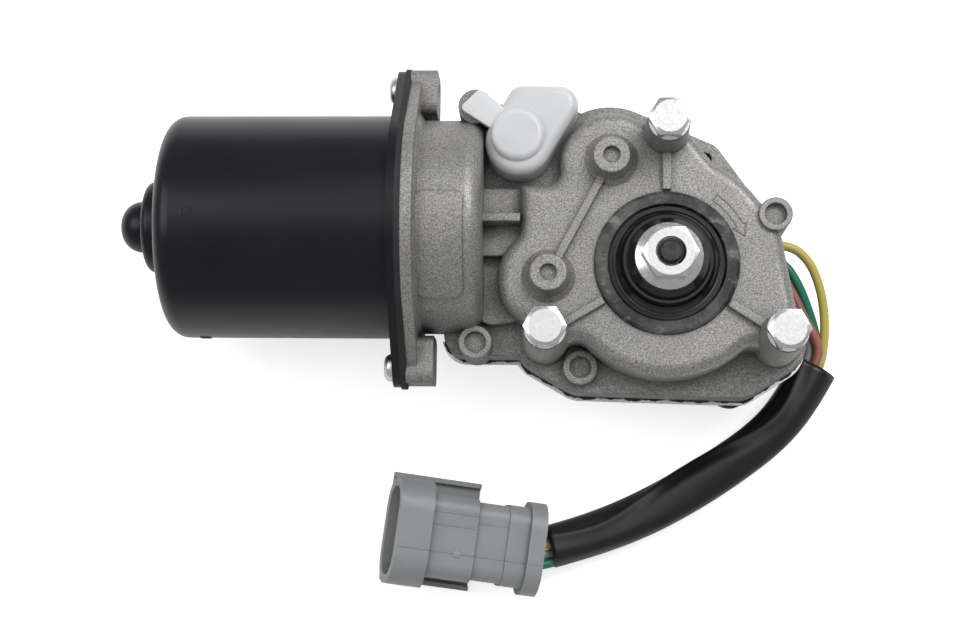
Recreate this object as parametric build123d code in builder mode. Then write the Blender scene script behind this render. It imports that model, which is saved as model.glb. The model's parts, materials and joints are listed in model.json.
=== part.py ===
from build123d import *
import math
import os

# A two-idler wiper motor. All sizes in millimetres.
# The origin lies on the output shaft's axis, in the plane of the three bracket seats.
# +Z runs out along the output shaft, and -X towards the motor can.

# General fits
RUN_FIT = 0.03            # radial clearance of a shaft in its bush
SLIDE_FIT = 0.2           # clearance round a piece that is put in by hand
RUNNING_GAP = 0.3         # between pieces that move past each other

# Motor axis, beside and behind the output axis
AXIS_Y = 12.3
AXIS_Z = -26.0

# Gear train: a worm on each side drives an idler, and both pinions drive the output gear
WORM_MODULE = 0.8
WORM_STARTS = 2
WORM_PITCH_R = 5.6
WORM_LENGTH = 12.0
WHEEL_TEETH = 26
WHEEL_WIDTH = 5.0
PINION_TEETH = 12
OUTPUT_TEETH = 52
SPUR_MODULE = 1.0
PINION_SHIFT = 0.35       # profile shift, which keeps the small pinion from being undercut
PINION_TIP_CUT = 0.25     # taken off the pinion's tips so that they don't come to a point
TOOTH_THIN = 0.2          # taken off each tooth's thickness for backlash
PRESSURE_ANGLE = math.radians(20)
OUTPUT_GEAR_WIDTH = 3.8

# Gear housing levels
DECK_Z = -12.0            # outer face of the deck
DECK_T = 2.3
RIM_Z = -26.0             # front face of the rim flange
SEAM_Z = -36.0            # back face of the housing, where the cover's gasket lies
WEB_Z = -22.0
TUNNEL_Z = -18.0
TUNNEL_HALF_W = 9.35
TUNNEL_RIB_Z = -11.0
TUNNEL_RIB_END_X = -39.5
TUNNEL_LENGTH = 18.0
TUNNEL_MIDDLE_X = -44.0
WALL = 2.1
DECK_ROUND = 3.5
OUTPUT_CHAMBER_R = 28.6
IDLER_CHAMBER_R = 11.7
CONCAVE_ROUND = 4.0
RIB_W = 2.2
RIB_H = 1.6

# Bracket bosses and their bolts
BOSS_TOP_R = 5.7
BOSS_FOOT_R = 6.5
BOSSES = ((0, 36.0), (-32.5, -19.6), (30.3, -20.0))
BOLT_R = 3.0
BOLT_LENGTH = 14.0
BOLT_AF = 10.0
BOLT_HEAD_H = 4.0
WASHER_R = 5.5
WASHER_T = 1.2

# Cover screw lugs: place, radius and the level of the open front end
LUGS = {
    "upper_left": (-51.9, 43.6, 4.8, -13.0),
    "lower_left": (-51.7, -20.6, 4.5, -20.0),
    "right": (29.1, 13.3, 4.5, -10.8),
    "low": (-23.0, -27.1, 4.7, -22.0),
}
VENT_HOLE = (11.6, 32.0)
VENT_HOLE_R = 1.8
LUG_RECESS_R = 2.95
LUG_RECESS_DEPTH = 2.0
COVER_SCREW_R = 2.0
COVER_SCREW_LENGTH = 9.0
COVER_SCREW_HEAD_R = 3.7
COVER_SCREW_HEAD_H = 1.7

# Idler bosses and pins
IDLER_BOSS_Z = -5.5
IDLER_BOSS_R = 4.9
IDLER_BOSS_FOOT_R = 7.3
IDLER_RECESS_R = 2.3
IDLER_RECESS_DEPTH = 1.6
IDLER_PIN_R = 2.0
IDLER_PIN_HEAD_R = 3.6
IDLER_PIN_HEAD_T = 1.5
IDLER_HUB_R = 4.0

# Bell, flange and ears that take the motor
FACE_X = -70.4
CAN_R = 31.0
FLANGE_LIP = 3.0          # of the flange beyond the can
FLANGE_T = 2.6
FLANGE_CONE = 1.6
BELL_STEP = 1.3           # of the bell inside the can's radius
BELL_END_X = -49.6
BELL_ROUND = 4.5
BELL_WALL = 3.2
BELL_SHOULDER_X = -64.0
BELL_SHOULDER = 2.5
BELL_FLOOR_X = -54.0
EAR_BEYOND = 13.0         # of an ear's end beyond the can's radius
EAR_W = 15.0
EAR_T = 3.0
EAR_PAD_LENGTH = 13.0
EAR_PAD_W = 15.0
EAR_PAD_CORNER = 3.0
EAR_PAD_T = 7.4
CAN_EAR_BEYOND = 0.8      # of the can's ears beyond the housing's
EAR_EDGE = 4.6            # from a screw's axis to the ear's end
PANEL_RAISE = 0.5

# Motor can
GASKET_T = 1.6
GASKET_PROUD = 0.6
CAN_SHEET = 2.2
CAN_END_X = -137.0
CAN_ROUND = 5.0
POCKET_R = 12.8
POCKET_END_X = -144.0
DOME_R = 7.2
DOME_END_X = -151.6
CAN_SCREW_R = 2.0
CAN_SCREW_HEAD_R = 3.8
CAN_SCREW_HEAD_H = 2.6
CAN_SCREW_LENGTH = 10.6

# Armature
SHAFT_R = 4.0
SHAFT_FRONT_X = -7.0
AIR_GAP = 0.6
CORE_LENGTH = 41.0
CORE_X = -129.0
SLOTS = 12
SLOT_R = 2.6
SLOT_DEPTH = 4.1
SLOT_MOUTH = 1.6
COIL_R = 2.3
COIL_INSET = 1.7
COIL_INNER_R = 8.0
COIL_OVERHANG = 5.5
COMMUTATOR_R = 11.0
COMMUTATOR_X = -77.0
COMMUTATOR_LENGTH = 14.0
COMMUTATOR_GROOVE = 0.6
MAGNET_T = 5.7
MAGNET_LENGTH = 43.0
MAGNET_SPAN = 124.0       # degrees
CLIP_SPAN = 30.0
CLIP_T = 0.8
REAR_BUSH_R = 7.5
RETAINER_T = 0.8
THRUST_PAD_T = 1.5
FRONT_BUSH_R = 8.0
FRONT_BUSH_LENGTH = 8.0

# Brush gear
BRUSH_ANGLES = (35, 155, 215)
BRUSH_W = 6.0
BRUSH_X_LENGTH = 5.0
BRUSH_RADIAL = 8.5
BRUSH_BOX_WALL = 1.0
BRUSH_WALL_LENGTH = 7.0
BRUSH_HOLDER_T = 2.4
BRUSH_HOLDER_BORE = 12.4
LEAF_T = 0.5
CHOKE_R = 2.6
CHOKE_LENGTH = 11.0
CHOKE_AT_R = 18.5
CHOKE_ANGLES = (95, 275)

# Output shaft and what sits round it
OUTPUT_SHAFT_R = 6.0
OUTPUT_BUSH_R = 8.0
HUB_R = 10.5
HUB_Z = -7.2
THRUST_WASHER_T = 0.5
RETAINING_RING_T = 0.8
RETAINING_RING_R = 7.6
RETAINING_RING_GAP = 5.0
GROOVE_DEPTH = 0.6
CONE_TOP_Z = -3.5
CONE_TOP_R = 4.6
THREAD_R = 4.0
SHAFT_TIP_Z = 5.8
DOG_R = 2.9               # the plain point beyond the thread
DOG_H = 1.6
NUT_AF = 13.0
NUT_H = 7.4
NUT_FLANGE_R = 8.95
NUT_FLANGE_T = 1.3
CAP_T = 1.2
CAP_RIM_R = 13.9
CAP_RIM_Z = -11.2
RING_OUTER_R = 19.6
RING_GAP = 0.4            # round the turning cap
RING_GROOVE_R = 15.4
RING_GROOVE_H = 0.4
RING_H = 1.5
PARK_DISC_R = 20.0
PARK_DISC_BORE = 8.6
PARK_DISC_T = 0.5
PARK_NOTCH = 40.0         # degrees

# Rear cover and the moulding on its back
SEAL_T = 0.8
COVER_T = 1.6
COVER_PROUD = 1.0
PAN_R = 27.0
PAN_IDLER_R = 9.0
BELL_CLEARANCE = 0.8
PAN_DEPTH = 2.0
SWITCH_WALL = 2.0
SWITCH_LUG = (19.7, -29.6, 4.6)
SWITCH_SIDE_X = 28.0
SWITCH_EAR_Z = -52.0
LEAD_HOLE = (11.0, -4.0)
LEAD_HOLE_R = 4.0
CARRIER_LENGTH = 17.0
CARRIER_WIDTH = 24.0
CARRIER_T = 3.0
FINGER_YS = (-13.0, -9.2, 4.2)
FINGER_T = 0.5
FINGER_W = 3.0

# Harness
WIRE_R = 1.35
WIRE_FIT = 0.1
SLEEVE_R = 6.0
WIRE_EXIT_X = 31.0
GROMMET_Y = 7.3
GROMMET_LENGTH = 15.4
GROMMET_H = 5.0

# Vent cap
VENT_END_R = 9.1
VENT_DOME_R = 7.4
VENT_DOME_H = 2.0
VENT_DOME_ROUND = 1.9
VENT_TOP_Z = -10.5
VENT_T = 1.2
VENT_ROUND = 2.6
VENT_CLIP_T = 2.4

# Connector, lying on the floor with its mouth propped up on the clip plate
CONNECTOR_TURN = math.radians(7.2)     # seen from above
TAIL_PITCH = 3.0
TAIL_GAP = 0.6            # between a wire's tail and the sleeve's end
TAIL_DEPTH = 3.0
REAR_H = 18.5
MOUTH_H = 20.0
MOUTH_LENGTH = 11.0
CONNECTOR_STEPS = (       # length, width, height and corner radius of each step, rear first
    (4.6, 26.5, REAR_H, 8.0),
    (6.0, 23.0, 15.5, 5.0),
    (9.0, 22.0, 14.5, 4.0),
    (13.0, 23.5, 16.0, 4.0),
    (MOUTH_LENGTH, 30.0, MOUTH_H, 9.0),
)
SOCKET_FLOOR = 33.6
SOCKET_W = 25.0
SOCKET_H = 15.0
SOCKET_CORNER = 6.5
TERMINAL_PITCH = 5.0
TERMINAL_W = 2.8
TERMINAL_T = 0.8
TERMINAL_LENGTH = 7.5
CLIP_W = 31.0
CLIP_SHIFT = 1.2          # towards the motor
CLIP_H = 3.0
CLIP_WALL = 1.4
CLIP_FROM = 17.0
LIP_SHORT = 1.6           # of the mouth's upper lip behind the lower one

# Values that follow from the sizes above
WORM_LEAD = math.pi * WORM_MODULE * WORM_STARTS
WORM_TIP_R = WORM_PITCH_R + WORM_MODULE
WORM_ROOT_R = WORM_PITCH_R - 1.25 * WORM_MODULE
WORM_BORE_R = WORM_TIP_R + 0.8
WHEEL_PITCH_R = WORM_MODULE * WHEEL_TEETH / 2
WORM_CENTRES = WORM_PITCH_R + WHEEL_PITCH_R
IDLER_A_Y = AXIS_Y - WORM_CENTRES
IDLER_B_Y = AXIS_Y + WORM_CENTRES
IDLER_CENTRES = SPUR_MODULE * (PINION_TEETH + OUTPUT_TEETH) / 2
IDLER_A = (-math.sqrt(IDLER_CENTRES**2 - IDLER_A_Y**2), IDLER_A_Y)
IDLER_B = (-math.sqrt(IDLER_CENTRES**2 - IDLER_B_Y**2), IDLER_B_Y)
DECK_INNER_Z = DECK_Z - DECK_T
IDLER_PIN_TOP_Z = IDLER_BOSS_Z - IDLER_RECESS_DEPTH - 2.0
GEAR_TOP_Z = DECK_INNER_Z - THRUST_WASHER_T - 2 * RUN_FIT
GEAR_BACK_Z = GEAR_TOP_Z - OUTPUT_GEAR_WIDTH
COVER_Z = SEAM_Z - SEAL_T
COVER_BACK_Z = COVER_Z - COVER_T
PAN_BACK_Z = COVER_BACK_Z - PAN_DEPTH
FLANGE_R = CAN_R + FLANGE_LIP
CONE_FOOT_R = FLANGE_R - FLANGE_CONE
BELL_R = CAN_R - BELL_STEP
BELL_BORE_R = BELL_R - BELL_WALL
BELL_INNER_R = BELL_BORE_R - BELL_SHOULDER
EAR_REACH = CAN_R + EAR_BEYOND
EAR_SCREW_Y = EAR_REACH - EAR_EDGE
EAR_PAD_Y = EAR_REACH - EAR_PAD_LENGTH / 2
FLOOR_Z = AXIS_Z - FLANGE_R     # the level that the motor lies on
CAN_FACE_X = FACE_X - GASKET_T
CAN_BACK_X = CAN_FACE_X - CAN_SHEET
CAN_BORE_R = CAN_R - CAN_SHEET
MAGNET_R = CAN_BORE_R - MAGNET_T
CORE_R = MAGNET_R - AIR_GAP
SLOT_AT_R = CORE_R - SLOT_DEPTH
COIL_OUTER_R = CORE_R - COIL_INSET
RING_INNER_R = CAP_RIM_R + RING_GAP
POCKET_BORE_R = POCKET_R - CAN_SHEET
POCKET_FLOOR_X = POCKET_END_X + CAN_SHEET
DOME_BORE_R = DOME_R - CAN_SHEET
DOME_FLOOR_X = DOME_END_X + CAN_SHEET
RETAINER_X = CAN_END_X + CAN_SHEET - RETAINER_T
SHAFT_REAR_X = DOME_FLOOR_X + THRUST_PAD_T + RUNNING_GAP
BRUSH_PLATE_X = BELL_SHOULDER_X - BRUSH_HOLDER_T
BRUSH_END_R = COMMUTATOR_R + RUNNING_GAP + BRUSH_RADIAL
BRUSH_WALL_MIDDLE_R = BRUSH_HOLDER_BORE + BRUSH_WALL_LENGTH / 2
BRUSH_WALL_Y = BRUSH_W / 2 + SLIDE_FIT + BRUSH_BOX_WALL / 2
PINION_PITCH_R = SPUR_MODULE * PINION_TEETH / 2
OUTPUT_PITCH_R = SPUR_MODULE * OUTPUT_TEETH / 2
SHIFT = PINION_SHIFT * SPUR_MODULE
PINION_TIP_R = PINION_PITCH_R + SPUR_MODULE + SHIFT - PINION_TIP_CUT
PINION_ROOT_R = PINION_PITCH_R - 1.25 * SPUR_MODULE + SHIFT
OUTPUT_TIP_R = OUTPUT_PITCH_R + SPUR_MODULE - SHIFT
OUTPUT_ROOT_R = OUTPUT_PITCH_R - 1.25 * SPUR_MODULE - SHIFT
PINION_TOOTH = math.pi * SPUR_MODULE / 2 + 2 * SHIFT * math.tan(PRESSURE_ANGLE) - TOOTH_THIN
OUTPUT_TOOTH = math.pi * SPUR_MODULE / 2 - 2 * SHIFT * math.tan(PRESSURE_ANGLE) - TOOTH_THIN
WHEEL_FRONT_Z = AXIS_Z + WHEEL_WIDTH / 2
WHEEL_BACK_Z = AXIS_Z - WHEEL_WIDTH / 2
IDLER_BACK_Z = WHEEL_BACK_Z - 2.0
PIN_HEAD_Z = IDLER_BACK_Z - RUNNING_GAP - IDLER_PIN_HEAD_T
GROOVE_Z = HUB_Z + RUNNING_GAP
NUT_Z = CONE_TOP_Z + CAP_T
DOG_Z = SHAFT_TIP_Z - DOG_H
CARRIER_Z = PAN_BACK_Z + COVER_T + CARRIER_T
CONNECTOR_LENGTH = sum(step[0] for step in CONNECTOR_STEPS)
CLIP_END = CONNECTOR_LENGTH - 1.0
CONNECTOR_TILT = math.atan((MOUTH_H / 2 + CLIP_H - REAR_H / 2) / CLIP_FROM)
CONNECTOR_REAR = Vector(-34.4, -76.2, FLOOR_Z + REAR_H / 2 * math.cos(CONNECTOR_TILT))
GROMMET_PLANE = Plane(origin=(SWITCH_SIDE_X, GROMMET_Y, -50.0), x_dir=(0, 1, 0), z_dir=(1, 0, 0))

MOTOR_AXIS = Axis((0, AXIS_Y, AXIS_Z), (1, 0, 0))
MOTOR_SECTION = Plane(origin=(0, AXIS_Y, AXIS_Z), x_dir=(1, 0, 0), z_dir=(0, -1, 0))

os.makedirs("parts", exist_ok=True)

def save(piece, name):
    """Labels a finished piece and writes it."""
    piece.part.label = name
    export_step(piece.part, f"parts/{name}.step")

def across(x):
    """The plane square to the motor axis at x: local x is Y, local y is Z."""
    return Plane(origin=(x, AXIS_Y, AXIS_Z), x_dir=(0, 1, 0), z_dir=(1, 0, 0))

def upright(x, y):
    """The plane through the vertical line at x, y: local x is the radius, local y is Z."""
    return Plane(origin=(x, y, 0), x_dir=(1, 0, 0), z_dir=(0, -1, 0))

def level(z):
    return Plane.XY.offset(z)

def turn(points, plane, axis, mode=Mode.ADD):
    """Revolves a closed profile of (along, radius) or (radius, height) points."""
    with BuildSketch(plane) as profile:
        with BuildLine():
            Polyline(points, close=True)
        make_face()
    revolve(profile.sketch, axis=axis, mode=mode)

def turn_motor(points, mode=Mode.ADD):
    turn(points, MOTOR_SECTION, MOTOR_AXIS, mode)

def turn_upright(points, x=0, y=0, mode=Mode.ADD):
    turn(points, upright(x, y), Axis((x, y, 0), (0, 0, 1)), mode)

def ring(plane, outer, inner, thickness):
    """A plain ring, bush or washer."""
    with BuildSketch(plane) as face:
        Circle(outer)
        Circle(inner, mode=Mode.SUBTRACT)
    extrude(face.sketch, amount=thickness)

def posts(places, radius, bottom, top, mode=Mode.ADD):
    """Round posts or holes along Z at several places."""
    with BuildSketch(level(bottom)) as face:
        with Locations(*places):
            Circle(radius)
    extrude(face.sketch, amount=top - bottom, mode=mode)

def rib(start, end, bottom, top, width=RIB_W):
    """A straight cast rib between two points."""
    run = Vector(*end) - Vector(*start)
    centre = (Vector(*start) + Vector(*end)) / 2
    heading = math.degrees(math.atan2(run.Y, run.X))
    with BuildSketch(level(bottom)) as face:
        with Locations((centre.X, centre.Y)):
            Rectangle(run.length, width, rotation=heading)
    extrude(face.sketch, amount=top - bottom)

def hull_outline(*circles):
    """The tight outline round some circles, each given as x, y, radius."""
    with BuildSketch() as outline:
        for x, y, radius in circles:
            with Locations((x, y)):
                Circle(radius)
        make_hull()
    return outline.sketch

def involute(angle):
    return math.tan(angle) - angle

def gear_points(teeth, module, tip_r, root_r, thickness, tooth_at):
    """Corner points of an involute gear with one tooth centred at an angle in radians."""
    pitch_r = module * teeth / 2
    base_r = pitch_r * math.cos(PRESSURE_ANGLE)
    foot_r = max(base_r, root_r)
    half_at_pitch = thickness / (2 * pitch_r) + involute(PRESSURE_ANGLE)
    points = []
    for tooth in range(teeth):
        centre = tooth_at + 2 * math.pi * tooth / teeth
        flank = []
        for radius in (foot_r, pitch_r, tip_r):
            half = half_at_pitch - involute(math.acos(base_r / radius))
            flank.append((radius, half))
        if foot_r > root_r:
            flank.insert(0, (root_r, flank[0][1]))
        for radius, half in flank:
            points.append((radius * math.cos(centre - half), radius * math.sin(centre - half)))
        for radius, half in reversed(flank):
            points.append((radius * math.cos(centre + half), radius * math.sin(centre + half)))
    return points

def mesh_angle(place, driver_tooth_at, driver_teeth, driver_r, own_teeth, own_r):
    """Where a pinion has a tooth so that its space meets a tooth of the gear at the origin."""
    heading = math.atan2(place[1], place[0])
    pitch = 2 * math.pi / driver_teeth
    lead = (driver_tooth_at - heading) % pitch
    return heading + math.pi - lead * driver_r / own_r + math.pi / own_teeth

def corner_radii(points):
    """The largest tangent arc at each corner of a cord's route."""
    radii = []
    for before, corner, after in zip(points, points[1:], points[2:]):
        run_in = Vector(*corner) - Vector(*before)
        run_out = Vector(*after) - Vector(*corner)
        half_turn = math.radians(run_in.get_angle(run_out)) / 2
        shorter = min(run_in.length, run_out.length)
        radii.append(0.45 * shorter / math.tan(half_turn))
    return radii

def cord(points, radius):
    """A round tube along straight runs joined by tangent arcs."""
    radii = corner_radii(points)
    with BuildLine() as route:
        FilletPolyline(*points, radius=radii)
    start = Plane(origin=points[0], z_dir=Vector(*points[1]) - Vector(*points[0]))
    with BuildSketch(start) as section:
        Circle(radius)
    sweep(section.sketch, path=route.line)

# Outlines of the gear housing, seen from the front
RIM_MAIN = (
    (*IDLER_B, 18.6), (10.5, 30.6, 6.4), (26.6, 12.4, 3.8), (30.3, -20.0, 8.4),
    (20.5, -26.8, 8.0), (-23.0, -27.1, 6.6), (-32.5, -19.6, 8.4), (*IDLER_A, 14.5),
)
RIM_LEFT = ((-54.6, -17.6, 6.0), (-51.9, 43.6, 4.8), (-40.0, -17.6, 6.0), (-26.0, 40.0, 6.0))
WEB = hull_outline((-47.0, -10.5, 5.0), (-30.0, -5.0, 8.0), (-48.0, 42.0, 5.0), (-25.0, 38.0, 6.0))
BRIDGE_RIGHT = hull_outline((8.0, 0, 6.0), (25.6, 12.0, 4.6), (*BOSSES[2], 5.6))
BRIDGE_TOP = hull_outline((0, 12.0, 6.0), (*BOSSES[0], 5.4), (22.5, 10.5, 3.0))
BRIDGE_LEFT = hull_outline((-10.0, 0, 6.0), (*BOSSES[1], 5.6), (-30.0, -4.0, 6.0))

with BuildSketch() as deck_outline:
    Circle(OUTPUT_CHAMBER_R + WALL)
    with Locations(IDLER_A, IDLER_B):
        Circle(IDLER_CHAMBER_R + WALL)
    with Locations((-24.0, AXIS_Y - 0.8)):
        Rectangle(31.0, 2 * TUNNEL_HALF_W + 2.0)
    add(BRIDGE_RIGHT)
    add(BRIDGE_TOP)
    add(BRIDGE_LEFT)
    offset(amount=CONCAVE_ROUND)
    offset(amount=-CONCAVE_ROUND)

with BuildSketch() as chamber_outline:
    Circle(OUTPUT_CHAMBER_R)
    with Locations(IDLER_A, IDLER_B):
        Circle(IDLER_CHAMBER_R)
    with Locations((-20.0, AXIS_Y)):
        Rectangle(34.0, 2 * (TUNNEL_HALF_W - WALL))

with BuildSketch() as rim_outline:
    add(hull_outline(*RIM_MAIN))
    add(hull_outline(*RIM_LEFT))

with BuildSketch() as cover_outline:
    for circles in (RIM_MAIN, RIM_LEFT):
        add(hull_outline(*[(x, y, radius + COVER_PROUD) for x, y, radius in circles]))

# The raised pad on the bell's crown, bent to the bell
with BuildPart() as crown_pad:
    with BuildSketch(level(AXIS_Z + BELL_R / 2)):
        with Locations((-60.6, AXIS_Y - 9.5)):
            RectangleRounded(12.6, 27.0, 2.5)
    extrude(amount=BELL_R)
    with BuildSketch(across(FACE_X)):
        Circle(BELL_R + PANEL_RAISE)
    extrude(amount=BELL_END_X - FACE_X, mode=Mode.INTERSECT)

# Gear housing: one aluminium casting
def flange_outline(beyond):
    """The flange's oval: its round with an ear on each side, each longer by an amount."""
    ear_y = EAR_REACH - EAR_W / 2 + beyond
    return hull_outline((0, 0, FLANGE_R), (ear_y, 0, EAR_W / 2), (-ear_y, 0, EAR_W / 2))

with BuildPart() as gear_housing:
    with BuildSketch(level(RIM_Z)):
        add(deck_outline.sketch)
    extrude(amount=DECK_Z - RIM_Z)
    fillet(gear_housing.edges().filter_by_position(Axis.Z, DECK_Z, DECK_Z), DECK_ROUND)
    with BuildSketch(level(SEAM_Z)):
        add(rim_outline.sketch)
    extrude(amount=RIM_Z - SEAM_Z)
    with BuildSketch(level(SEAM_Z)):
        add(WEB)
    extrude(amount=WEB_Z - SEAM_Z)

    # Tunnel for the worm shaft, with its stiffening rib
    with BuildSketch(level(SEAM_Z)):
        with Locations((TUNNEL_MIDDLE_X, AXIS_Y)):
            Rectangle(TUNNEL_LENGTH, 2 * TUNNEL_HALF_W)
    extrude(amount=TUNNEL_Z - SEAM_Z)
    rib(
        (TUNNEL_MIDDLE_X - TUNNEL_LENGTH / 2, AXIS_Y), (TUNNEL_RIB_END_X, AXIS_Y),
        TUNNEL_Z - 1.0, TUNNEL_RIB_Z,
    )

    # Bell with its flange and ears
    with BuildSketch(MOTOR_SECTION) as bell_profile:
        with BuildLine():
            Polyline(
                (FACE_X, 0), (FACE_X, CONE_FOOT_R), (FACE_X + FLANGE_T, CONE_FOOT_R),
                (FACE_X + FLANGE_T + FLANGE_CONE, BELL_R), (BELL_END_X, BELL_R), (BELL_END_X, 0), close=True,
            )
        make_face()
        fillet(bell_profile.vertices().sort_by_distance((BELL_END_X, BELL_R))[0], BELL_ROUND)
    revolve(axis=MOTOR_AXIS)
    add(crown_pad.part)
    with BuildSketch(across(FACE_X)):
        add(flange_outline(0))
    extrude(amount=EAR_T)
    with BuildSketch(across(FACE_X)):
        with Locations((EAR_PAD_Y, 0), (-EAR_PAD_Y, 0)):
            RectangleRounded(EAR_PAD_LENGTH, EAR_PAD_W, EAR_PAD_CORNER)
    extrude(amount=EAR_PAD_T)

    # Bracket bosses, lugs, idler bosses, hub and ribs
    for x, y in BOSSES:
        turn_upright(((0, 0), (BOSS_TOP_R, 0), (BOSS_FOOT_R, RIM_Z), (0, RIM_Z)), x, y)
    for x, y, radius, top in LUGS.values():
        posts([(x, y)], radius, SEAM_Z, top)
    for x, y in (IDLER_A, IDLER_B):
        turn_upright(
            (
                (0, IDLER_BOSS_Z), (IDLER_BOSS_R, IDLER_BOSS_Z), (IDLER_BOSS_R + 0.3, IDLER_BOSS_Z - 3.0),
                (IDLER_BOSS_R + 1.0, DECK_Z + 1.4), (IDLER_BOSS_FOOT_R, DECK_Z), (0, DECK_Z),
            ),
            x, y,
        )
    posts([(0, 0)], HUB_R, DECK_Z, HUB_Z)
    rib((0, 19.9), (0, 32.0), DECK_Z - 1.0, DECK_Z + RIB_H)
    rib((-17.1, -10.25), (-28.0, -16.8), DECK_Z - 1.0, DECK_Z + RIB_H)
    rib((16.7, -10.9), (26.5, -17.2), DECK_Z - 1.0, DECK_Z + RIB_H)
    rib(IDLER_A, IDLER_B, DECK_Z - 1.0, DECK_Z + RIB_H)

    # Gear chamber, open at the back, and the worm shaft's bore
    with BuildSketch(level(SEAM_Z)):
        add(chamber_outline.sketch)
    extrude(amount=DECK_INNER_Z - SEAM_Z, mode=Mode.SUBTRACT)
    with BuildSketch(across(BELL_FLOOR_X)):
        Circle(WORM_BORE_R)
    extrude(amount=IDLER_A[0] - BELL_FLOOR_X, mode=Mode.SUBTRACT)
    with BuildSketch(across(BELL_FLOOR_X)):
        Circle(FRONT_BUSH_R)
    extrude(amount=FRONT_BUSH_LENGTH, mode=Mode.SUBTRACT)
    with BuildSketch(across(FACE_X)):
        Circle(BELL_BORE_R)
    extrude(amount=BELL_SHOULDER_X - FACE_X, mode=Mode.SUBTRACT)
    with BuildSketch(across(FACE_X)):
        Circle(BELL_INNER_R)
    extrude(amount=BELL_FLOOR_X - FACE_X, mode=Mode.SUBTRACT)

    # Holes for bolts, screws, pins and the output bush
    posts(BOSSES, BOLT_R, -BOLT_LENGTH - 1.0, 0, mode=Mode.SUBTRACT)
    posts([(0, 0)], OUTPUT_BUSH_R, DECK_INNER_Z, HUB_Z, mode=Mode.SUBTRACT)
    posts((IDLER_A, IDLER_B), IDLER_PIN_R, DECK_INNER_Z, IDLER_PIN_TOP_Z, mode=Mode.SUBTRACT)
    posts(
        (IDLER_A, IDLER_B), IDLER_RECESS_R, IDLER_BOSS_Z - IDLER_RECESS_DEPTH, IDLER_BOSS_Z,
        mode=Mode.SUBTRACT,
    )
    for x, y, radius, top in LUGS.values():
        posts([(x, y)], LUG_RECESS_R, top - LUG_RECESS_DEPTH, top, mode=Mode.SUBTRACT)
        posts([(x, y)], COVER_SCREW_R, SEAM_Z, COVER_BACK_Z + COVER_SCREW_LENGTH, mode=Mode.SUBTRACT)
    posts([VENT_HOLE], VENT_HOLE_R, SEAM_Z, DECK_Z, mode=Mode.SUBTRACT)
    with BuildSketch(across(FACE_X)):
        with Locations((EAR_SCREW_Y, 0), (-EAR_SCREW_Y, 0)):
            Circle(CAN_SCREW_R)
    extrude(amount=EAR_PAD_T, mode=Mode.SUBTRACT)
save(gear_housing, "gear_housing")

# Motor can: a drawn steel cup with flange ears, a bearing pocket and a rear dome
with BuildPart() as motor_can:
    with BuildSketch(MOTOR_SECTION) as can_profile:
        with BuildLine():
            Polyline(
                (CAN_FACE_X, 0), (CAN_FACE_X, CAN_R), (CAN_END_X, CAN_R), (CAN_END_X, POCKET_R),
                (POCKET_END_X, POCKET_R), (POCKET_END_X, DOME_R), (DOME_END_X, DOME_R),
                (DOME_END_X, 0), close=True,
            )
        make_face()
        fillet(can_profile.vertices().sort_by_distance((CAN_END_X, CAN_R))[0], CAN_ROUND)
        fillet(can_profile.vertices().sort_by_distance((POCKET_END_X, POCKET_R))[0], CAN_SHEET)
        fillet(can_profile.vertices().sort_by_distance((DOME_END_X, DOME_R))[0], DOME_R - 1.2)
    revolve(axis=MOTOR_AXIS)
    with BuildSketch(across(CAN_BACK_X)):
        add(flange_outline(CAN_EAR_BEYOND))
    extrude(amount=CAN_SHEET)
    turn_motor(
        (
            (CAN_FACE_X, 0), (CAN_FACE_X, CAN_BORE_R), (CAN_END_X + CAN_SHEET, CAN_BORE_R),
            (CAN_END_X + CAN_SHEET, POCKET_BORE_R), (POCKET_FLOOR_X, POCKET_BORE_R),
            (POCKET_FLOOR_X, DOME_BORE_R), (DOME_FLOOR_X, DOME_BORE_R), (DOME_FLOOR_X, 0),
        ),
        mode=Mode.SUBTRACT,
    )
    with BuildSketch(across(CAN_BACK_X)):
        with Locations((EAR_SCREW_Y, 0), (-EAR_SCREW_Y, 0)):
            Circle(CAN_SCREW_R)
    extrude(amount=CAN_SHEET, mode=Mode.SUBTRACT)
save(motor_can, "motor_can")

with BuildPart() as can_gasket:
    with BuildSketch(across(CAN_FACE_X)):
        add(flange_outline(CAN_EAR_BEYOND + GASKET_PROUD))
        Circle(BELL_BORE_R, mode=Mode.SUBTRACT)
        with Locations((EAR_SCREW_Y, 0), (-EAR_SCREW_Y, 0)):
            Circle(CAN_SCREW_R, mode=Mode.SUBTRACT)
    extrude(amount=GASKET_T)
save(can_gasket, "can_gasket")

# One can screw with a pan head, then the pair
with BuildPart() as can_screw:
    with BuildSketch(MOTOR_SECTION) as screw_profile:
        with BuildLine():
            Polyline(
                (CAN_BACK_X - CAN_SCREW_HEAD_H, 0), (CAN_BACK_X - CAN_SCREW_HEAD_H, CAN_SCREW_HEAD_R),
                (CAN_BACK_X, CAN_SCREW_HEAD_R), (CAN_BACK_X, CAN_SCREW_R),
                (CAN_BACK_X + CAN_SCREW_LENGTH, CAN_SCREW_R), (CAN_BACK_X + CAN_SCREW_LENGTH, 0),
                close=True,
            )
        make_face()
        head_corner = (CAN_BACK_X - CAN_SCREW_HEAD_H, CAN_SCREW_HEAD_R)
        fillet(screw_profile.vertices().sort_by_distance(head_corner)[0], CAN_SCREW_HEAD_H - 0.8)
    revolve(axis=MOTOR_AXIS)

with BuildPart() as can_screws:
    with Locations((0, EAR_SCREW_Y, 0), (0, -EAR_SCREW_Y, 0)):
        add(can_screw.part)
save(can_screws, "can_screws")

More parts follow.
